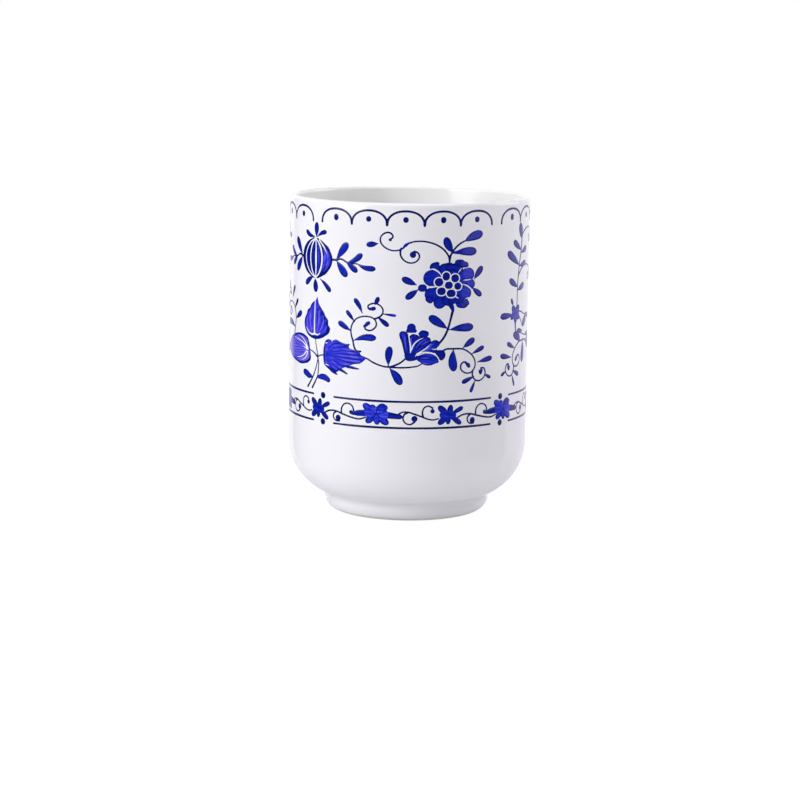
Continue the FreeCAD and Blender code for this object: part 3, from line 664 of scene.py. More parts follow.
def right_leaf(sheet):
    """Broad leaf with a blunt base, ragged far edges and streaks along it."""
    sheet.patch([(-24.8, 44.2), (-24.95, 46.2), (-24.7, 48.2), (-24.0, 49.7), (-22.9, 50.2), (-21.8, 49.9),
                 (-20.5, 50.3), (-19.2, 49.9), (-17.8, 49.5), (-16.4, 49.2), (-16.3, 48.5), (-14.9, 48.0),
                 (-13.2, 47.6), (-12.9, 46.9), (-11.3, 46.0), (-12.0, 45.2), (-13.0, 44.5), (-15.0, 44.1),
                 (-16.4, 43.5), (-18.0, 42.9), (-19.0, 42.3), (-20.2, 41.6), (-21.8, 41.7), (-23.6, 42.5),
                 (-24.5, 43.2)], WASH, rim=0.45, streak=0.16, grain=(1.0, 0.0))
    teeth = (
        ([(-16.9, 43.4), (-15.0, 43.2), (-13.4, 43.0)], 0.75),
        ([(-19.4, 42.5), (-18.0, 42.0), (-16.8, 41.4)], 0.75),
        ([(-22.0, 42.0), (-21.0, 41.5), (-20.0, 41.0)], 0.85), ([(-17.6, 49.0), (-16.2, 49.3)], 0.5),
        ([(-14.6, 47.6), (-13.0, 47.7)], 0.45),
    )
    for points, width in teeth:
        sheet.stroke(points, [width, width, 0.36], DARK, streak=0.06)
    base = (-23.9, 46.2)
    ribs = (
        ((-20.8, 41.9), -0.9), ((-18.4, 42.2), -0.8), ((-16.2, 43.2), -0.6), ((-14.0, 44.3), -0.3),
        ((-12.2, 45.4), -0.1), ((-12.6, 46.6), 0.2), ((-14.4, 47.6), 0.5), ((-16.6, 48.6), 0.8),
        ((-19.4, 49.4), 1.0),
    )
    for tip, bow in ribs:
        middle = ((base[0] + tip[0]) / 2, (base[1] + tip[1]) / 2 + bow)
        sheet.tint([base, middle, tip], [0.2, 0.4, 0.6], DARK - 0.04, 0.85)
    edges = (
        ([(-24.7, 44.4), (-24.9, 46.4), (-24.6, 48.4), (-23.4, 50.0)], [1.3, 1.4, 1.4, 1.0], 0.06, 0.95),
        ([(-22.4, 50.1), (-20.4, 50.2), (-18.4, 49.7), (-16.6, 49.2)], [0.9, 1.2, 1.1, 0.8], 0.02, 0.9),
        ([(-24.3, 43.2), (-22.0, 41.9), (-20.2, 41.7)], [1.0, 1.4, 1.1], 0.04, 0.95),
    )
    for points, widths, darker, strength in edges:
        sheet.tint(points, widths, DARK + darker, strength)
    pale_streaks = (
        [(-18.6, 45.4), (-15.6, 45.0), (-13.2, 45.0)], [(-18.8, 48.0), (-15.6, 47.8)],
        [(-18.0, 44.0), (-15.4, 43.8)], [(-17.4, 46.2), (-13.6, 46.0)], [(-17.6, 47.2), (-14.2, 47.0)],
        [(-19.8, 43.2), (-18.2, 42.7)],
    )
    for points in pale_streaks:
        sheet.tint(points, [0.15, 0.45, 0.3], 0.0, 0.75)
    notches = (
        [(-24.0, 49.0), (-23.2, 49.2)], [(-21.9, 50.2), (-21.7, 49.4)], [(-23.9, 43.3), (-22.8, 43.1)],
    )
    for points in notches:
        sheet.reserve(points, [0.3, 0.12])


def left_leaf(sheet):
    """Leaf turned away to the left, with white veins fanning out from its base."""
    sheet.patch([(-30.5, 46.8), (-30.8, 48.2), (-31.5, 49.5), (-33.0, 50.2), (-35.4, 50.5), (-38.0, 50.2),
                 (-41.0, 49.3), (-44.0, 47.6), (-46.4, 45.3), (-43.8, 43.9), (-41.0, 42.9), (-38.0, 42.4),
                 (-35.5, 42.1), (-33.2, 42.4), (-31.2, 43.0), (-30.1, 44.0), (-30.2, 45.6)], 0.5 * PALE,
                rim=0.55, streak=0.1, grain=(1.0, 0.08))
    for index in range(9):
        spread = (index - 4) / 4
        start = (-33.2 - 0.5 * math.sin(2.1 * index), 46.5 + 1.3 * spread)
        middle = (-37.2, 46.4 + 3.1 * spread)
        end = (-42.6 + 1.4 * abs(spread), 46.1 + 2.6 * spread)
        sheet.tint([start, middle, end], [0.25, 0.5, 0.35], MIDDLE, 0.6)
    edges = (
        ([(-31.4, 49.4), (-30.9, 48.0), (-30.7, 46.6)], [0.9, 1.0, 0.7], 0.1, 1.0),
        ([(-30.5, 45.4), (-30.4, 44.2), (-31.6, 43.2), (-33.4, 42.7)], [0.5, 1.0, 1.0, 0.5], 0.1, 1.0),
        ([(-31.6, 49.7), (-34.4, 50.4), (-38.0, 50.2), (-41.6, 49.0)], [1.3, 1.5, 1.3, 0.9], 0.06, 0.95),
        ([(-33.0, 42.5), (-36.0, 42.2), (-39.0, 42.6), (-42.0, 43.3)], [1.3, 1.5, 1.3, 0.9], 0.06, 0.95),
    )
    for points, widths, darker, strength in edges:
        sheet.tint(points, widths, DARK + darker, strength)
    veins = (
        [(-31.6, 46.9), (-32.7, 48.2), (-34.4, 49.3), (-37.2, 49.8)],
        [(-31.8, 46.9), (-33.6, 47.9), (-36.6, 48.6), (-40.0, 48.8)], [(-32.0, 46.7), (-34.2, 47.0)],
        [(-32.2, 45.9), (-33.4, 44.9), (-35.4, 44.0), (-38.6, 43.6)],
        [(-31.6, 45.8), (-32.2, 44.6), (-33.6, 43.6), (-35.4, 43.0)],
    )
    for points in veins:
        sheet.reserve(points, [0.45, 0.26, 0.2, 0.1])
    sheet.reserve([(-32.4, 46.7), (-31.6, 46.6)], [0.5, 0.7])


def trefoil():
    """Three big leaves on two crossing stems."""
    sheet = Sheet(-48.0, -9.0, 35.0, 62.5)
    stems = (
        [(-28.1, 49.8), (-27.9, 48.6), (-27.6, 47.3), (-27.2, 46.0), (-27.0, 45.0), (-27.4, 43.2),
         (-28.0, 41.4), (-29.0, 39.5), (-30.0, 38.1), (-31.4, 36.4)],
        [(-24.9, 45.7), (-26.0, 45.5), (-26.9, 45.0), (-26.7, 43.6), (-26.8, 41.7), (-27.0, 40.0),
         (-27.9, 38.4), (-29.3, 36.4)],
        [(-30.5, 46.5), (-29.6, 46.3), (-28.4, 45.8), (-27.2, 45.0)],
    )
    for points in stems:
        sheet.stroke(points, [0.3, 0.34, 0.4, 0.6], LINE, streak=0.06)
    sheet.stroke([(-29.6, 39.4), (-30.8, 39.5), (-32.4, 40.1), (-33.0, 40.2)], [0.6, 1.6, 1.9, 1.6], FILL,
                 rim=0.4)
    sheet.stroke([(-26.9, 39.5), (-25.4, 39.8), (-23.8, 39.6), (-23.0, 39.2)], [0.7, 1.5, 1.8, 1.4],
                 FILL - 0.04, rim=0.4)
    left_leaf(sheet)
    right_leaf(sheet)
    top_leaf(sheet)
    return sheet


def tendril():
    """Double curl that rises from a trefoil's side leaf."""
    sheet = Sheet(-21.0, -1.5, 46.8, 63.5)
    curl(sheet, [(-12.9, 47.7), (-14.1, 47.8), (-14.8, 48.9), (-15.1, 50.2), (-15.6, 51.8), (-15.8, 53.2),
                 (-15.3, 55.0), (-14.2, 56.3), (-12.5, 57.0), (-11.0, 57.1), (-9.6, 56.8), (-8.7, 55.9),
                 (-8.6, 54.8), (-9.4, 53.8), (-10.5, 53.4), (-11.6, 53.8), (-11.9, 54.6)], (-11.1, 55.2),
         0.95)
    sheet.stroke([(-11.8, 54.5), (-10.7, 55.4)], [0.8, 1.0], DARK)
    curl(sheet, [(-9.0, 56.6), (-7.9, 57.0), (-7.0, 57.9), (-6.8, 59.0), (-7.4, 60.0), (-8.7, 60.6),
                 (-10.0, 60.5), (-10.9, 59.9), (-10.8, 59.2)], (-9.6, 59.2), 1.05)
    sheet.stroke([(-10.4, 59.1), (-9.2, 59.3)], [0.7, 0.95], DARK)
    leaves = (
        ((-15.0, 50.5), (-8.9, 51.5), 1.85, FILL, 0.3, 0.08, 0.0),
        ((-15.8, 53.0), (-19.5, 55.0), 1.6, FILL + 0.05, 0.3, 0.0, 0.0),
        ((-14.7, 55.5), (-17.1, 58.2), 1.15, DARK, 0.28, 0.0, 0.15),
        ((-12.5, 57.9), (-14.7, 61.5), 1.35, FILL + 0.05, 0.3, -0.05, 0.0),
        ((-8.9, 60.4), (-8.1, 62.2), 1.25, DARK, 0.28, 0.0, 0.0),
        ((-7.0, 58.0), (-3.4, 57.6), 0.75, DARK, 0.28, 0.0, 0.5),
        ((-8.2, 57.1), (-5.4, 54.9), 1.3, DARK - 0.05, 0.28, 0.0, 0.0),
    )
    for base, tip, width, tone, rim, bend, fade in leaves:
        sheet.petal(base, tip, width, tone, rim=rim, bend=bend, fade=fade)
    return sheet


# Flowering branch

def lily(sheet):
    """Half-open flower in side view, petals parted by thin white lines."""
    areas = (
        ([(0.9, 47.2), (-0.9, 47.5), (-1.3, 48.8), (-1.7, 50.4), (-2.3, 52.0), (-2.45, 52.9), (-2.0, 53.5),
          (-1.1, 53.6), (-0.3, 53.1), (0.15, 52.0), (0.3, 50.2), (0.7, 48.8)], FILL + 0.06, 0.28, 0.16,
         (-0.2, 1.0)),
        ([(0.4, 47.4), (0.3, 49.5), (0.3, 52.3), (1.2, 52.9), (2.4, 52.6), (3.4, 52.1), (4.8, 52.2),
          (5.7, 51.8), (6.0, 50.9), (5.0, 50.0), (3.8, 48.9), (2.2, 47.6)], FILL + 0.06, 0.28, 0.2,
         (0.7, 0.7)),
        ([(2.2, 47.3), (3.4, 48.5), (4.8, 49.8), (6.0, 50.8), (7.0, 51.3), (8.0, 51.0), (8.4, 50.4),
          (8.2, 49.7), (7.7, 49.3), (7.6, 48.5), (7.0, 47.8), (5.4, 47.9), (3.6, 47.6)], DARK - 0.1, 0.15,
         0.16, (0.7, 0.5)),
        ([(1.6, 46.6), (3.2, 47.3), (5.0, 47.7), (6.7, 47.4), (7.8, 46.5), (8.1, 45.3), (7.2, 45.0),
          (6.2, 44.6), (5.0, 44.5), (3.8, 44.9), (2.8, 45.6)], MIDDLE + 0.08, 0.36, 0.2, (1.0, -0.1)),
        ([(6.9, 48.2), (8.2, 48.6), (9.4, 48.4), (10.0, 47.6), (9.8, 46.5), (9.0, 45.8), (8.3, 46.0),
          (7.6, 47.2)], DARK, 0.1, 0.06, (1.0, 0.0)),
        ([(-0.9, 46.6), (-0.9, 47.8), (0.2, 48.3), (1.6, 47.9), (2.4, 47.0), (2.2, 46.1), (1.0, 45.7),
          (-0.3, 45.8)], DARK - 0.02, 0.08, 0.08, (1.0, 0.0)),
    )
    for points, tone, rim, streak, grain in areas:
        sheet.patch(points, tone, rim=rim, streak=streak, grain=grain)
    tip = [(2.9, 52.5), (3.9, 53.0), (4.6, 52.9)]
    sheet.stroke(tip, [1.0, 1.8, 1.6], DARK - 0.04, rim=0.15, streak=0.1)
    sheet.tint([(-1.6, 52.8), (-1.2, 51.4), (-0.8, 50.2)], [0.5, 0.7, 0.2], WASH, 0.75)
    dark_veins = (
        [(1.4, 48.6), (2.6, 50.2), (4.4, 51.6)], [(2.0, 48.6), (3.6, 50.1), (5.4, 51.2)],
        [(2.4, 46.7), (4.6, 46.9), (6.8, 46.4)], [(2.8, 46.2), (4.8, 46.2), (7.2, 45.7)],
        [(0.9, 49.8), (1.0, 51.2), (1.4, 52.4)], [(-2.0, 52.6), (-1.4, 50.6), (-0.8, 48.6)],
    )
    for points in dark_veins:
        sheet.tint(points, [0.3, 0.5, 0.3], DARK + 0.1, 0.85)
    pale_veins = (
        [(2.0, 49.2), (3.2, 50.6), (4.8, 51.6)], [(3.0, 45.6), (4.4, 45.1), (6.0, 45.0)],
        [(3.4, 46.5), (5.6, 46.5)], [(3.4, 49.9), (4.6, 50.7), (5.6, 51.2)],
        [(0.9, 49.0), (0.8, 50.8), (0.9, 52.0)], [(4.6, 48.7), (5.8, 49.6), (6.9, 50.4)],
        [(-0.6, 48.6), (-0.8, 50.4), (-0.9, 52.6)],
    )
    for points in pale_veins:
        sheet.tint(points, [0.2, 0.55, 0.2], PALE, 0.9)
    sheet.tint([(3.6, 48.2), (5.2, 48.8), (6.6, 49.3)], [0.2, 0.6, 0.2], PALE, 0.8)
    gaps = (
        ([(0.6, 48.0), (0.6, 49.4), (0.35, 51.0), (0.1, 52.4)], [0.3, 0.36, 0.32, 0.25]),
        ([(0.0, 52.7), (0.6, 53.1), (1.4, 53.15), (2.2, 53.0), (2.9, 52.3)], [0.2, 0.34, 0.34, 0.15]),
        ([(0.8, 48.6), (1.4, 50.0), (2.6, 51.2), (4.0, 51.9)], [0.3, 0.34, 0.26, 0.12]),
        ([(2.2, 47.6), (4.0, 48.6), (5.2, 49.5), (6.0, 50.3)], [0.2, 0.28, 0.26, 0.12]),
        ([(1.9, 47.1), (3.4, 47.85), (5.2, 48.0), (7.0, 47.5), (8.1, 46.3), (8.4, 45.3)],
         [0.2, 0.34, 0.26, 0.22]),
        ([(6.3, 48.9), (7.2, 48.8), (7.9, 49.2)], [0.15, 0.24, 0.16]),
    )
    for points, widths in gaps:
        sheet.reserve(points, widths)
    sheet.stroke([(0.75, 54.3), (0.76, 54.5)], 2.3, DARK - 0.08, rim=0.1)
    sheet.stroke([(-0.1, 53.7), (1.7, 53.7)], 1.0, DARK - 0.08, rim=0.1)


def branch_stems(sheet):
    """Main stem from the side leaf through the lily to the peony, with four leaves."""
    sheet.stroke([(-12.4, 46.4), (-11.0, 45.9), (-9.5, 45.1), (-8.0, 44.5), (-6.5, 44.1), (-5.0, 44.0),
                  (-3.4, 44.5), (-2.0, 45.2), (-0.8, 46.2)], [0.35, 0.45, 0.42, 0.5, 0.45], LINE)
    sheet.stroke([(-4.8, 43.9), (-1.5, 43.9), (1.0, 44.1), (2.6, 44.4), (3.8, 45.1)], [0.4, 0.45, 0.4, 0.3],
                 LINE)
    sheet.petal((-5.2, 44.4), (-4.9, 49.1), 2.0, FILL + 0.05, rim=0.32, bend=0.03)
    sheet.petal((-4.8, 43.6), (-1.9, 39.7), 2.2, FILL + 0.03, rim=0.32, bend=0.04)
    sheet.stroke([(7.7, 49.9), (8.8, 51.0), (9.6, 52.1), (10.3, 53.5), (10.9, 55.3), (11.4, 57.2),
                  (11.8, 58.8)], [0.65, 0.58, 0.6, 0.56, 0.75], LINE)
    sheet.petal((10.4, 54.2), (5.7, 57.3), 2.3, FILL + 0.05, rim=0.34)
    sheet.petal((10.9, 53.9), (17.6, 54.4), 2.25, FILL + 0.04, rim=0.34, bend=0.02)


def side_spray(sheet):
    """Curled spray to the right of the lily, over the flower band."""
    curl(sheet, [(9.0, 48.2), (10.3, 48.8), (11.6, 48.8), (13.0, 48.8), (15.0, 48.6), (16.6, 47.8),
                 (17.8, 46.8), (18.6, 45.5), (18.8, 44.4), (18.4, 43.1), (17.5, 42.3), (16.4, 42.1),
                 (15.2, 42.5), (14.4, 43.4), (14.5, 44.5), (15.1, 45.1), (15.9, 45.1)], (16.6, 44.3), 1.15)
    sheet.stroke([(15.8, 45.0), (16.8, 44.0)], [0.6, 1.0], DARK)
    curl(sheet, [(18.0, 42.7), (18.0, 41.4), (18.5, 40.5), (19.4, 39.9), (20.4, 39.9), (21.4, 40.4),
                 (22.1, 41.3), (22.1, 42.4), (21.5, 43.2), (20.7, 43.2)], (20.5, 42.3), 1.1)
    sheet.stroke([(20.9, 42.5), (20.6, 41.9)], [0.9, 0.9], DARK)
    leaves = (
        ((12.2, 48.6), (12.4, 43.2), 2.45, FILL + 0.05, 0.34, -0.06, 0.0),
        ((15.0, 49.0), (18.2, 51.1), 1.75, FILL + 0.08, 0.34, 0.0, 0.0),
        ((17.7, 47.2), (21.4, 48.8), 1.3, FILL + 0.12, 0.3, 0.0, 0.0),
        ((19.6, 44.9), (24.3, 45.7), 1.5, FILL + 0.1, 0.3, 0.0, 0.0),
        ((22.0, 41.4), (24.0, 40.4), 0.95, DARK, 0.28, 0.0, 0.0),
        ((18.4, 41.1), (15.0, 39.7), 1.3, DARK - 0.05, 0.28, 0.0, 0.0),
        ((18.9, 40.1), (17.5, 37.0), 1.0, DARK + 0.04, 0.28, 0.0, 0.4),
    )
    for base, tip, width, tone, rim, bend, fade in leaves:
        sheet.petal(base, tip, width, tone, rim=rim, bend=bend, fade=fade)


def peony(sheet):
    """Full flower: seeds in white rings, broad lobes round them, and a bud on the left."""
    lobes = (
        ([(6.6, 70.4), (7.2, 70.6)], 2.4, 0.1), ([(9.1, 70.1), (10.7, 70.4)], 2.4, 0.1),
        ([(13.2, 71.1), (14.0, 71.1)], 2.4, 0.12), ([(14.2, 71.2), (15.4, 70.9)], 1.5, 0.1),
        ([(10.6, 70.3), (12.2, 70.3), (13.6, 69.9)], 1.9, 0.12), ([(5.8, 67.6), (6.5, 67.7)], 4.1, 0.05),
        ([(5.9, 63.3), (6.6, 63.3)], 3.5, 0.05), ([(5.2, 62.1), (5.6, 61.8)], 1.6, 0.08),
        ([(8.1, 61.1), (8.4, 61.3)], 3.1, 0.08), ([(10.2, 61.7), (10.8, 61.6)], 2.7, 0.1),
        ([(14.0, 61.0), (14.9, 60.9)], 2.8, 0.08), ([(11.4, 61.8), (13.6, 61.8)], 2.0, 0.1),
        ([(15.2, 61.1), (15.9, 60.8)], 1.3, 0.06), ([(15.1, 63.6), (15.4, 63.5)], 3.4, 0.0),
        ([(15.9, 68.5), (16.3, 68.4)], 3.3, -0.04), ([(16.5, 66.0), (16.9, 65.8)], 2.6, 0.0),
    )
    sheet.stroke([(8.8, 65.9), (12.9, 65.9)], 7.3, FILL, streak=0.05)
    for points, width, change in lobes:
        sheet.stroke(points, width + 0.12, MIDDLE + 0.1 + change, streak=0.07, rim=0.3)
    folds = (
        [(14.8, 69.4), (16.2, 69.6), (17.2, 69.2)], [(14.8, 68.4), (16.2, 68.4), (17.4, 67.9)],
        [(14.6, 64.4), (15.8, 64.4), (16.6, 63.6)], [(15.2, 66.3), (16.4, 66.0), (17.6, 65.4)],
    )
    for points in folds:
        sheet.tint(points, [0.2, 0.6, 0.3], WASH, 0.4)
    sheet.stroke([(11.2, 60.6), (11.7, 59.6), (11.9, 58.9)], [1.5, 1.2, 0.7], DARK, streak=0.06)
    gaps = (
        ([(5.2, 69.8), (6.2, 69.95), (7.3, 69.5), (8.1, 68.8), (8.6, 68.0)], 0.38),
        ([(4.2, 65.3), (5.6, 65.25), (7.2, 65.3)], 0.42), ([(8.1, 71.6), (8.1, 70.9)], 0.4),
        ([(12.0, 72.0), (12.0, 71.5)], 0.4), ([(14.2, 70.1), (13.7, 69.5), (13.2, 68.9)], 0.26),
        ([(14.6, 66.9), (15.6, 66.9), (17.4, 67.1)], 0.24), ([(12.6, 60.5), (12.6, 59.9)], 0.4),
        ([(14.3, 65.9), (15.6, 65.5), (16.5, 65.0), (17.2, 64.2), (17.5, 63.2)], 0.34),
        ([(12.4, 62.9), (12.9, 62.4), (13.4, 62.2)], 0.3), ([(16.6, 62.3), (15.4, 61.9)], 0.24),
        ([(14.4, 70.1), (15.4, 70.1), (16.2, 70.2)], 0.2),
    )
    for points, width in gaps:
        sheet.reserve(points, [0.12, width, width, 0.12])
    seeds = (
        (10.6, 65.65, 2.2, 1.9), (7.9, 66.5, 2.3, 2.2), (9.85, 68.0, 2.0, 2.2), (12.35, 67.45, 2.2, 2.1),
        (13.15, 65.35, 2.0, 1.9), (11.3, 63.5, 2.5, 1.95), (8.6, 64.1, 2.3, 2.0),
    )
    spines = []
    for u, z, width, height in seeds:
        shorter = min(width, height)
        across, rise = (width - shorter) / 2, (height - shorter) / 2
        spines.append(([(u - across, z - rise), (u + across + 0.01, z + rise)], shorter))
    for spine, width in spines:
        sheet.reserve(spine, width + 2 * SEED_RING)
    for spine, width in spines:
        sheet.stroke(spine, width, DARK, rim=0.1, streak=0.06)
    sheet.stroke([(3.3, 65.0), (3.7, 65.0)], 1.95, DARK - 0.08, rim=0.16)
    side_petals = (
        ((1.9, 65.8), (-1.6, 67.4), 1.8), ((2.3, 64.5), (-0.6, 62.3), 1.75),
        ((18.0, 67.1), (20.4, 70.1), 1.75), ((17.5, 64.7), (20.2, 62.7), 1.6),
    )
    for base, tip, width in side_petals:
        sheet.petal(base, tip, width, FILL + 0.1, rim=0.24)


def top_tendrils(sheet):
    """Stems above the peony: two curls to the left, leaves to the right."""
    curl(sheet, [(10.7, 72.2), (10.5, 73.1), (9.9, 74.1), (9.0, 75.1), (7.5, 76.1), (5.0, 77.0),
                 (2.5, 77.25), (0.7, 77.0), (-0.6, 76.4), (-1.8, 75.3), (-3.0, 74.8), (-4.4, 74.7),
                 (-5.8, 75.1), (-7.0, 75.9), (-7.7, 77.0), (-7.6, 78.2), (-6.9, 79.0), (-5.8, 79.4),
                 (-4.8, 79.1), (-4.4, 78.3), (-4.9, 77.7)], (-5.1, 77.5), 0.8)
    curl(sheet, [(-2.2, 75.3), (-2.4, 74.4), (-2.2, 73.2), (-1.4, 72.2), (-0.2, 71.6), (1.0, 71.6),
                 (2.1, 72.2), (2.6, 73.3), (2.2, 74.2), (1.2, 74.6)], (0.9, 73.7), 1.65)
    sheet.stroke([(-2.0, 75.2), (-1.2, 76.0), (0.2, 77.0)], [0.2, 0.85, 0.2], FILL + 0.1)
    sheet.petal((-8.4, 76.4), (-11.3, 76.0), 1.5, FILL + 0.1)
    sheet.stroke([(10.7, 72.0), (10.9, 73.2), (11.5, 74.4), (12.4, 75.5), (13.6, 76.5), (15.2, 77.3)],
                 [0.6, 0.5, 0.5, 0.4], LINE)
    leaves = (
        ((14.9, 77.1), (20.1, 79.0), 2.45, FILL + 0.04, 0.3, 0.05),
        ((11.5, 74.3), (9.6, 77.9), 2.2, FILL + 0.08, 0.26, 0.04),
        ((11.8, 74.2), (18.2, 74.4), 2.3, FILL + 0.06, 0.3, 0.02),
    )
    for base, tip, width, tone, rim, bend in leaves:
        sheet.petal(base, tip, width, tone, rim=rim, bend=bend)
    sheet.stroke([(11.8, 74.2), (13.8, 74.3)], [0.6, 1.2], FILL + 0.12, streak=0.1)


def flowering_branch():
    """Lily, stems, spray, peony and tendrils as one motif."""
    sheet = Sheet(-14.0, 26.0, 35.8, 81.0)
    branch_stems(sheet)
    side_spray(sheet)
    top_tendrils(sheet)
    peony(sheet)
    lily(sheet)
    return sheet


# Leafy spray

def leafy_spray():
    """Upright spray of paired leaves with a small flower, standing on a mirrored side spray."""
    sheet = Sheet(26.5, 50.5, 35.8, 82.0)
    sheet.stroke([(38.3, 77.6), (38.2, 76.0), (37.9, 74.0), (37.3, 71.6), (36.7, 69.4), (36.3, 67.0),
                  (35.9, 64.5), (35.8, 62.0), (35.8, 60.0), (35.6, 58.5)], [0.7, 0.5, 0.5, 0.4],
                 LINE - 0.08)
    sheet.stroke([(34.9, 54.8), (35.0, 53.0), (35.3, 51.6), (36.4, 50.2)], [0.9, 0.6, 0.6], DARK)
    stalks = (
        [(36.9, 57.0), (38.4, 56.8), (40.0, 56.2), (42.0, 55.6)],
        [(37.0, 56.0), (38.4, 54.4), (39.8, 52.8)],
        [(36.2, 51.8), (38.0, 51.2), (40.4, 50.4), (42.6, 49.9)],
    )
    for points in stalks:
        sheet.stroke(points, [0.4, 0.36, 0.3], DARK + 0.1, streak=0.05)
    curl(sheet, [(38.4, 77.4), (39.4, 78.2), (41.0, 78.9), (43.0, 79.3), (45.2, 79.2), (46.8, 78.2),
                 (47.4, 76.8), (46.7, 75.5), (45.4, 75.3), (44.7, 76.2)], (45.2, 76.8), 1.2)
    curl(sheet, [(36.1, 66.3), (37.0, 67.4), (38.4, 68.5), (40.4, 69.2), (43.0, 69.2), (45.2, 68.5),
                 (46.4, 67.2), (46.4, 65.8), (45.4, 65.0), (44.3, 65.6)], (44.7, 66.5), 1.2)
    leaves = (
        ((38.4, 76.4), (37.0, 80.4), 2.5), ((38.0, 73.4), (33.4, 76.0), 1.8),
        ((37.8, 72.8), (42.2, 73.8), 1.7), ((36.8, 69.4), (30.6, 73.2), 2.2),
        ((36.6, 69.2), (41.6, 69.9), 1.6), ((36.0, 63.6), (31.6, 65.8), 1.8),
        ((35.9, 62.8), (40.2, 64.0), 1.8), ((33.6, 58.8), (32.5, 60.6), 1.1),
        ((39.6, 52.7), (42.8, 54.8), 2.4), ((35.0, 51.8), (37.8, 49.2), 1.9),
        ((39.9, 51.4), (36.3, 51.7), 1.4), ((41.6, 55.8), (45.8, 55.0), 1.4),
        ((42.2, 50.0), (45.8, 50.2), 1.3),
    )
    for base, tip, width in leaves:
        sheet.petal(base, tip, width, FILL + 0.1, rim=0.36)
    sheet.petal((33.6, 56.3), (27.9, 56.3), 1.8, FILL + 0.06, rim=0.3)
    petals = (
        ((33.2, 58.4), 2.0), ((36.9, 58.3), 2.1), ((37.2, 55.2), 1.9), ((32.6, 55.4), 1.6),
        ((35.0, 54.2), 1.9),
    )
    for tip, width in petals:
        sheet.petal((34.9, 56.8), tip, width, FILL + 0.08, rim=0.24, streak=0.16)
    sheet.stroke([(34.2, 56.7), (35.8, 56.9)], [2.6, 2.8], FILL + 0.04, streak=0.2)
    return sheet


def spray_foot():
    """The side spray on its own, growing out of a small three-petalled bud."""
    sheet = Sheet(2.5, 26.0, 35.8, 52.5)
    side_spray(sheet)
    for tip, width in (((5.4, 49.6), 1.6), ((4.6, 48.1), 1.7), ((5.6, 46.5), 1.6)):
        sheet.petal((9.0, 48.1), tip, width, FILL + 0.06, rim=0.3)
    return sheet


# Materials

class Graph:
    """A node tree, with short ways to add to it."""

    def __init__(self, tree):
        self.nodes, self.links = tree.nodes, tree.links

    def feed(self, socket, value):
        """Link another node's output to a socket, or set the socket to a plain value."""
        if isinstance(value, bpy.types.NodeSocket):
            self.links.new(value, socket)
        else:
            socket.default_value = value

    def add(self, kind, inputs, **settings):
        """New node with its settings; `inputs` gives each input's output or value by name or number."""
        node = self.nodes.new("ShaderNode" + kind)
        for name, value in settings.items():
            setattr(node, name, value)
        for name, value in inputs.items():
            self.feed(node.inputs[name], value)
        return node

    def math(self, operation, *values):
        """Result of a sum on outputs and plain values."""
        return self.add("Math", dict(enumerate(values)), operation=operation).outputs["Value"]

    def mix(self, factor, first, second, blend_type="MIX"):
        """Blend of two colours."""
        inputs = {"Factor": factor, "A": first, "B": second}
        node = self.add("Mix", inputs, data_type="RGBA", blend_type=blend_type, clamp_result=False)
        return node.outputs["Result"]

    def spread(self, value, low, high, top=1.0):
        """A value's share of the way from `low` to `high`, times `top`."""
        inputs = {"Value": value, "From Min": low, "From Max": high, "To Max": top}
        return self.add("MapRange", inputs).outputs["Result"]

    def axes(self, space):
        """The three coordinates of a place."""
        place = self.add("TexCoord", {}).outputs[space]
        return self.add("SeparateXYZ", {"Vector": place}).outputs

    def rays(self, kind):
        """Whether the ray is of a kind."""
        return self.add("LightPath", {}).outputs[f"Is {kind} Ray"]

    def noise(self, scale, detail, roughness=0.5):
        """Noise in object space; scale is in features per metre."""
        place = self.add("TexCoord", {}).outputs["Object"]
        inputs = {"Vector": place, "Scale": scale, "Detail": detail, "Roughness": roughness}
        return self.add("TexNoise", inputs).outputs["Fac"]

    def ramp(self, source, stops):
        """Colour that follows a value; stops are (position, (r, g, b))."""
        node = self.add("ValToRGB", {"Fac": source})
        elements = node.color_ramp.elements
        elements.remove(elements[-1])
        elements[0].position = stops[0][0]
        elements[0].color = (*stops[0][1], 1)
        for position, colour in stops[1:]:
            elements.new(position).color = (*colour, 1)
        return node.outputs["Color"]

    def relief(self, source, distance, strength):
        """Surface relief from a value, `distance` metres deep."""
        inputs = {"Height": source, "Distance": distance, "Strength": strength}
        return self.add("Bump", inputs).outputs["Normal"]


def new_material(name):
    """Empty node material, its graph and a way to set its shader's inputs."""
    material = bpy.data.materials.new(name)
    material.use_nodes = True
    graph = Graph(material.node_tree)
    shader = graph.nodes["Principled BSDF"]

    def paint(inputs):
        """Feed outputs or plain values to the shader, by input name."""
        for socket, value in inputs.items():
            graph.feed(shader.inputs[socket], value)

    return material, graph, paint


def glaze_material():
    """White porcelain under clear glaze: cool white, glossy, slightly wavy, with faint specks."""
    material, graph, paint = new_material("glazed_porcelain")
    tint = graph.ramp(graph.noise(38.0, 3.0), [(0.3, (0.862, 0.856, 0.896)), (0.7, (0.882, 0.876, 0.908))])
    specks = graph.ramp(graph.noise(900.0, 2.0), [(0.78, (1, 1, 1)), (0.84, (0.93, 0.93, 0.94))])
    paint({
        # Painted light: the inner wall gets a whiter, more neutral colour for the brighter light inside the
        # cup
        "Base Color": graph.mix(1.0, inner_wall_painted_light(graph, tint), specks, "MULTIPLY"),
        "Roughness": 0.07,
        "IOR": 1.5,
        "Normal": graph.relief(graph.noise(130.0, 2.0), 0.00006, 0.5),
    })
    return material


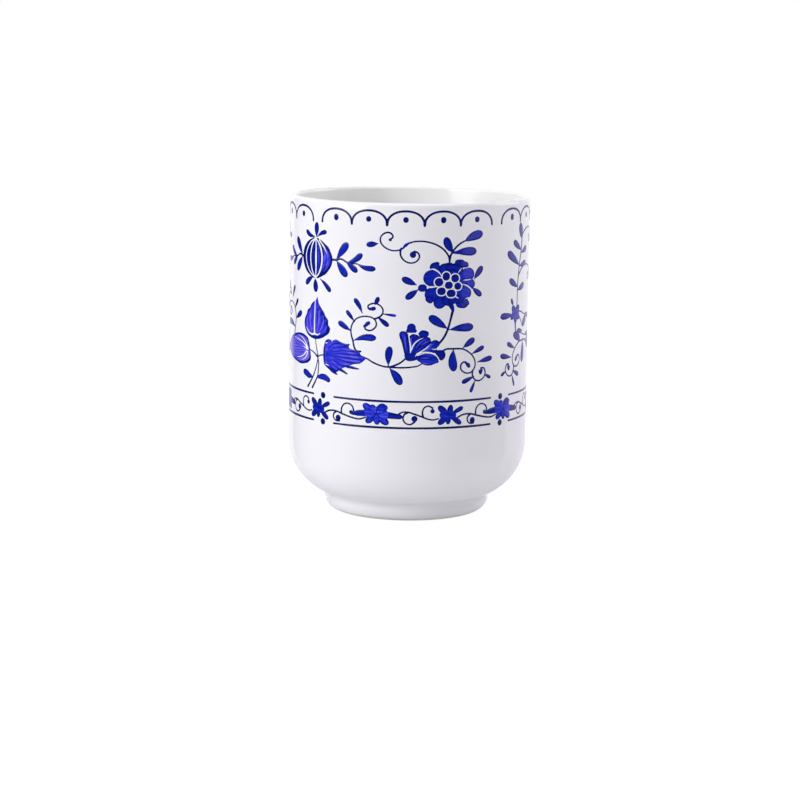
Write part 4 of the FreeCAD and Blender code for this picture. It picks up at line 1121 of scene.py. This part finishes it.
def inner_wall_painted_light(graph, outer_colour):
    """The given colour on the outside of the cup and low inside it; on the inner wall above the bowl's
    height, painted light: the same glaze made whiter and more neutral, standing for the brighter light
    inside.
    """
    axes = graph.axes("Object")
    flat = graph.add("CombineXYZ", {"X": axes["X"], "Y": axes["Y"]}).outputs["Vector"]
    radius = graph.add("VectorMath", {0: flat}, operation="LENGTH").outputs["Value"]
    outside = graph.spread(radius, (GLAZED_RADIUS - LIP_THICKNESS) / METRE, GLAZED_RADIUS / METRE)
    low = graph.math("LESS_THAN", axes["Z"], BOWL_HEIGHT / METRE)
    # Painted light: whiter, more neutral colour on the inner wall above the bowl's height
    return graph.mix(graph.math("MAXIMUM", outside, low), (0.93, 0.93, 0.918, 1), outer_colour)


def clay_material():
    """Bare fired porcelain of the foot ring: warm white, matt, with a fine sandy grain."""
    material, graph, paint = new_material("bare_porcelain")
    grain = graph.noise(2600.0, 5.0, 0.6)
    paint({
        "Base Color": graph.ramp(grain, [(0.35, (0.66, 0.63, 0.58)), (0.65, (0.80, 0.78, 0.74))]),
        "Roughness": 0.75,
        "Normal": graph.relief(grain, 0.00012, 0.8),
    })
    return material


def ink_material(name, violet=0.0):
    """Cobalt under gloss: pale wash to near-black by the stroke's own tone, with pigment grain."""
    grain_share, cloud_share = 0.16, 0.10
    material, graph, paint = new_material(name)
    tone = graph.add("Attribute", {}, attribute_name="tone").outputs["Fac"]
    cloud = graph.noise(260.0, 3.0)
    grainy = graph.math("MULTIPLY_ADD", graph.noise(1500.0, 4.0, 0.65), grain_share, tone)
    cloudy = graph.math("MULTIPLY_ADD", cloud, cloud_share, grainy)
    centred = graph.math("SUBTRACT", cloudy, (grain_share + cloud_share) / 2)
    paint({
        "Base Color": graph.ramp(centred, [
            (0.0, (0.20 + violet, 0.15, 0.63)),
            (0.28, (0.05 + violet, 0.058, 0.74)),
            (0.46, (0.022 + violet, 0.034, 0.64)),
            (0.62, (0.004, 0.020, 0.46)),
            (0.8, (0.002, 0.010, 0.27)),
            (1.0, (0.001, 0.004, 0.085)),
        ]),
        "Roughness": 0.12,
        "IOR": 1.5,
        "Normal": graph.relief(cloud, 0.00003, 0.4),
    })
    return material


def floor_material():
    """Matt white, lifted for the camera so that it runs into the backdrop, and clear from below."""
    material, graph, paint = new_material("pale_floor")
    greys = [(0.3, (0.79, 0.79, 0.795)), (0.7, (0.82, 0.82, 0.82))]
    paint({
        "Base Color": graph.ramp(graph.noise(3.0, 2.0), greys),
        "Roughness": 0.9,
        "Specular IOR Level": 0.0,
        "Emission Color": (1, 1, 1, 1),
        "Emission Strength": graph.math("MULTIPLY", graph.rays("Camera"), FLOOR_GLOW),
    })
    behind = graph.add("NewGeometry", {}).outputs["Backfacing"]
    from_below = graph.math("MULTIPLY", behind, graph.rays("Camera"))
    solid = graph.nodes["Principled BSDF"].outputs["BSDF"]
    clear = graph.add("BsdfTransparent", {}).outputs["BSDF"]
    blend = graph.add("MixShader", {"Fac": from_below, 1: solid, 2: clear}).outputs["Shader"]
    graph.feed(graph.nodes["Material Output"].inputs["Surface"], blend)
    return material


# The cup's own surfaces

def arc(centre, radius, start_degrees, end_degrees, steps):
    """Points along a circle in the half section."""
    turn = np.radians(np.linspace(start_degrees, end_degrees, steps + 1))
    return [(centre[0] + radius * math.cos(a), centre[1] + radius * math.sin(a)) for a in turn]


def straight(start, end, steps):
    """Points along a straight stretch of the half section, ends left out."""
    return [
        (start[0] + (end[0] - start[0]) * index / steps, start[1] + (end[1] - start[1]) * index / steps)
        for index in range(1, steps)
    ]


def wall_section(inset):
    """Half section from the axis on the cup's floor, up inside, over the lip and down to the foot."""
    corner_middle = GLAZED_RADIUS - WALL_THICKNESS - FLOOR_CORNER
    corner = arc((corner_middle, FLOOR_HEIGHT + FLOOR_CORNER), FLOOR_CORNER + inset, -90, 0, steps=24)
    lip_arc = LIP_THICKNESS / 2
    lip = arc((GLAZED_RADIUS - lip_arc, CUP_HEIGHT - lip_arc), lip_arc - inset, 180, 0, steps=16)
    bowl_middle = GLAZED_RADIUS - BOWL_RADIUS
    neck_middle = FOOT_RADIUS + NECK_ROUNDING
    neck_reach = BOWL_RADIUS + NECK_ROUNDING
    neck_height = BOWL_HEIGHT - math.sqrt(neck_reach**2 - (neck_middle - bowl_middle) ** 2)
    neck_angle = math.degrees(math.acos((neck_middle - bowl_middle) / neck_reach))
    bowl = arc((bowl_middle, BOWL_HEIGHT), BOWL_RADIUS - inset, 0, -neck_angle, steps=30)
    neck = arc((neck_middle, neck_height), NECK_ROUNDING + inset, 180 - neck_angle, 180, steps=12)
    foot_arc = FOOT_ROUNDING - inset
    foot = arc((FOOT_RADIUS - FOOT_ROUNDING, foot_arc), foot_arc, 0, -90, steps=16)
    floor = [(0.0, FLOOR_HEIGHT - inset)]
    section = floor + straight(floor[0], corner[0], steps=10) + corner
    section += straight(corner[-1], lip[0], steps=30) + lip
    section += straight(lip[-1], bowl[0], steps=30) + bowl + neck[1:] + foot
    return section


def well_section(inset):
    """Half section of the well inside the foot ring, from the table up to the axis."""
    edge = WELL_RADIUS + inset
    rounding = arc((edge + WELL_ROUNDING, WELL_ROUNDING), WELL_ROUNDING, 270, 180, steps=6)
    roof = WELL_DEPTH + inset
    corner, middle = (edge, roof), (0.0, roof)
    side = straight(rounding[-1], corner, steps=4)
    return rounding + side + [corner] + straight(corner, middle, steps=8) + [middle]


def above(section, height):
    """The stretch of a section that lies above a height, cut exactly at it."""
    kept = []
    for start, end in zip(section[:-1], section[1:]):
        if start[1] >= height:
            kept.append(start)
        if (start[1] - height) * (end[1] - height) < 0:
            share = (height - start[1]) / (end[1] - start[1])
            kept.append((start[0] + share * (end[0] - start[0]), height))
    if section[-1][1] >= height:
        kept.append(section[-1])
    return kept


def lathe(name, node, material, section):
    """Turn a half section round the cup's axis; points on the axis become single vertices."""
    vertices, faces, rings = [], [], []
    for radius, height in section:
        on_axis = radius < 1e-6
        steps = 1 if on_axis else ROUND_STEPS
        rings.append(list(range(len(vertices), len(vertices) + steps)) * (ROUND_STEPS // steps))
        for step in range(steps):
            turn = 2 * math.pi * step / ROUND_STEPS
            reach = 0.0 if on_axis else radius
            place = (reach * math.cos(turn), reach * math.sin(turn), height)
            vertices.append([size / METRE for size in place])
    for lower, upper in zip(rings[:-1], rings[1:]):
        for step in range(ROUND_STEPS):
            follow = (step + 1) % ROUND_STEPS
            corners = (lower[step], upper[step], upper[follow], lower[follow])
            faces.append(tuple(dict.fromkeys(corners)))
    mesh = add_piece(name, node, material, vertices, faces)
    mesh.set_sharp_from_angle(angle=math.radians(SHARP_DEGREES))


def build_cup():
    """Clay, outer glaze coat and the glaze in the foot well."""
    glaze = glaze_material()
    outer = above(wall_section(0.0), GLAZE_EDGE_HEIGHT)
    inner = above(wall_section(GLAZE_THICKNESS), GLAZE_EDGE_HEIGHT)
    lathe("glaze_coat", "clear_glaze", glaze, outer + inner[::-1])
    clay = wall_section(GLAZE_THICKNESS) + well_section(GLAZE_THICKNESS)
    lathe("clay_body", "porcelain_body", clay_material(), clay)
    coat = above(well_section(0.0), GLAZE_EDGE_HEIGHT)
    back = above(well_section(GLAZE_THICKNESS), GLAZE_EDGE_HEIGHT)
    lathe("well_glaze", "foot_well_glaze", glaze, coat[::-1] + back)


def build_pattern():
    """Every printed piece, each on the CAD node it stands for."""
    line, fill, wash = "cobalt_line", "cobalt_fill", "cobalt_wash"
    inks = {line: ink_material(line), fill: ink_material(fill), wash: ink_material(wash, violet=0.01)}
    both_halves = [once(), once(HALF_TURN, paler=0.02)]
    mirrored = [once(), once(mirror=PATTERN_AXIS, paler=0.03)]
    behind = once(HALF_TURN, PATTERN_AXIS)
    darker_left = [once(), once(mirror=PATTERN_AXIS, paler=-0.1), once(HALF_TURN), behind]
    raised = tendril()
    raised.z += TENDRIL_RISE
    raised_pair = [once(TENDRIL_SHIFT, PATTERN_AXIS, -0.12), behind]
    tendrils = [(tendril(), [once(), once(HALF_TURN)]), (raised, raised_pair)]
    foot = [once(mirror=SPRAY_AXIS), once(2 * (PATTERN_AXIS - SPRAY_AXIS))]
    prints = (
        ("print_scallops", "scallop_border", line, round_panels(arch_border, PANEL_CENTRE)),
        ("print_border_dots", "border_dots", line, round_panels(arch_dots, PANEL_CENTRE)),
        ("print_rules", "band_rules", line, round_panels(rules, RULE_CENTRE)),
        ("print_band_dots", "band_dots", line, round_panels(rule_dots, RULE_CENTRE)),
        ("print_flower_band", "band_vine", fill, flower_band()),
        ("print_fruit", "fruit_sprigs", fill, [(fruit(), both_halves), (fruit_twig(), darker_left)]),
        ("print_trefoils", "leaf_trefoils", wash, [(trefoil(), both_halves)]),
        ("print_tendrils", "curl_sprigs", line, tendrils),
        ("print_branches", "peony_branches", fill, [(flowering_branch(), mirrored)]),
        ("print_sprays", "leafy_sprays", fill, [(leafy_spray(), mirrored), (spray_foot(), foot)]),
    )
    for name, node, ink, placed_sheets in prints:
        film_object(name, node, inks[ink], placed_sheets)


# Stage

def add_floor():
    """Wide floor, open where the foot ring covers it, so that the base can be seen from below."""
    edges = ((FOOT_RADIUS - HIDDEN_MARGIN) / METRE, STAGE_METRES)
    turns = [2 * math.pi * step / FLOOR_STEPS for step in range(FLOOR_STEPS)]
    vertices = []
    for radius in edges:
        vertices += [(radius * math.cos(turn), radius * math.sin(turn), 0.0) for turn in turns]
    faces = []
    for step in range(FLOOR_STEPS):
        follow = (step + 1) % FLOOR_STEPS
        faces.append((step, FLOOR_STEPS + step, FLOOR_STEPS + follow, follow))
    mesh = bpy.data.meshes.new("floor")
    mesh.from_pydata(vertices, [], faces)
    mesh.materials.append(floor_material())
    floor = bpy.data.objects.new("floor", mesh)
    bpy.context.scene.collection.objects.link(floor)
    floor.visible_glossy = False


def add_area_light(name, place, aim, size, power, spread_degrees=180.0):
    """Rectangular light turned towards a point; a narrow spread makes it a beam."""
    light = bpy.data.lights.new(name, "AREA")
    light.shape = "RECTANGLE"
    light.size, light.size_y = size
    light.energy = power
    light.spread = math.radians(spread_degrees)
    lamp = bpy.data.objects.new(name, light)
    lamp.location = place
    lamp.visible_camera = False
    lamp.rotation_euler = (Vector(aim) - Vector(place)).to_track_quat("-Z", "Y").to_euler()
    bpy.context.scene.collection.objects.link(lamp)


def surround():
    """White for the camera, even for soft light, and for the glaze a dark front with a violet right."""
    world = bpy.data.worlds.new("surround")
    bpy.context.scene.world = world
    world.use_nodes = True
    graph = Graph(world.node_tree)
    axes = graph.axes("Generated")
    turn = graph.math("ARCTAN2", axes["X"], graph.math("MULTIPLY", axes["Y"], -1.0))
    share = graph.spread(turn, -math.pi, math.pi)
    height = graph.spread(axes["Z"], -1.0, 1.0)
    # The right half's bands lean: they move on by `lean` between these two heights
    lean_from, lean_to, lean = 0.4378, 0.4157, 0.16
    moved = graph.math("SUBTRACT", share, graph.spread(height, lean_from, lean_to, lean))
    left_half = graph.math("MINIMUM", share, 0.5)
    round_about = graph.ramp(graph.math("MAXIMUM", moved, left_half), [
        (0.0, (0.45, 0.45, 0.46)), (0.085, (0.40, 0.40, 0.41)), (0.112, (0.01, 0.01, 0.012)),
        (0.637, (0.006, 0.006, 0.008)), (0.645, (0.36, 0.30, 0.37)), (0.74, (0.43, 0.36, 0.44)),
        (0.82, (0.48, 0.45, 0.50)), (0.90, (0.50, 0.49, 0.51)),
    ])
    black, white, boost = (0, 0, 0), (1, 1, 1), (2.2, 2.2, 2.2, 1)
    sideways = graph.ramp(height, [(0.26, black), (0.38, white), (0.62, white), (0.75, black)])
    reflected = graph.mix(sideways, (0.30, 0.30, 0.31, 1), round_about)
    brighter = graph.mix(1.0, reflected, boost, "MULTIPLY")
    by_ray = graph.mix(graph.rays("Glossy"), (0.52, 0.518, 0.537, 1), brighter)
    seen = graph.mix(graph.rays("Camera"), by_ray, (*white, 1))
    graph.feed(graph.nodes["Background"].inputs["Color"], seen)


def add_lights():
    """Soft boxes left, right behind and on top, two window beams on the inner wall, and the surround."""
    aim = (0, 0, 0.045)
    glint_aim, glint_size = (0.0148, 0.0267, 0.0792), (0.0076, 0.0125)
    lights = (
        ("left_softbox", (-0.83, -0.46, 0.34), aim, (0.7, 0.6), 5.35),
        ("right_softbox", (0.84, 0.25, 0.40), aim, (0.6, 0.6), 2.1),
        ("window_glint", (-0.163, -0.380, 0.309), glint_aim, glint_size, 0.000046, 0.35),
        ("window_glow", (-0.15, -0.380, 0.309), (0.0085, 0.028, 0.080), (0.030, 0.012), 0.00011, 1.0),
        ("top_softbox", (0.0, 0.10, 1.10), aim, (0.7, 0.7), 3.4),
    )
    for light in lights:
        add_area_light(*light)
    surround()


def add_camera():
    """Camera above the lip's height in front of the cup, looking slightly down."""
    camera_data = bpy.data.cameras.new("camera")
    camera_data.sensor_width = 36.0
    camera_data.lens = 101.88
    camera_data.shift_x = -0.01021
    camera_data.shift_y = -0.06095
    camera_data.clip_start = 0.05
    camera = bpy.data.objects.new("camera", camera_data)
    bpy.context.scene.collection.objects.link(camera)
    place = Vector((0.0, -0.620, 0.134))
    aim = Vector((0.0, 0.0, 0.0435))
    roll = Matrix.Rotation(CAMERA_ROLL, 4, "Z")
    look = (aim - place).to_track_quat("-Z", "Y").to_matrix().to_4x4()
    camera.matrix_world = Matrix.Translation(place) @ look @ roll
    bpy.context.scene.camera = camera


bpy.context.scene.view_settings.view_transform = "Standard"
build_cup()
build_pattern()
add_floor()
add_lights()
add_camera()
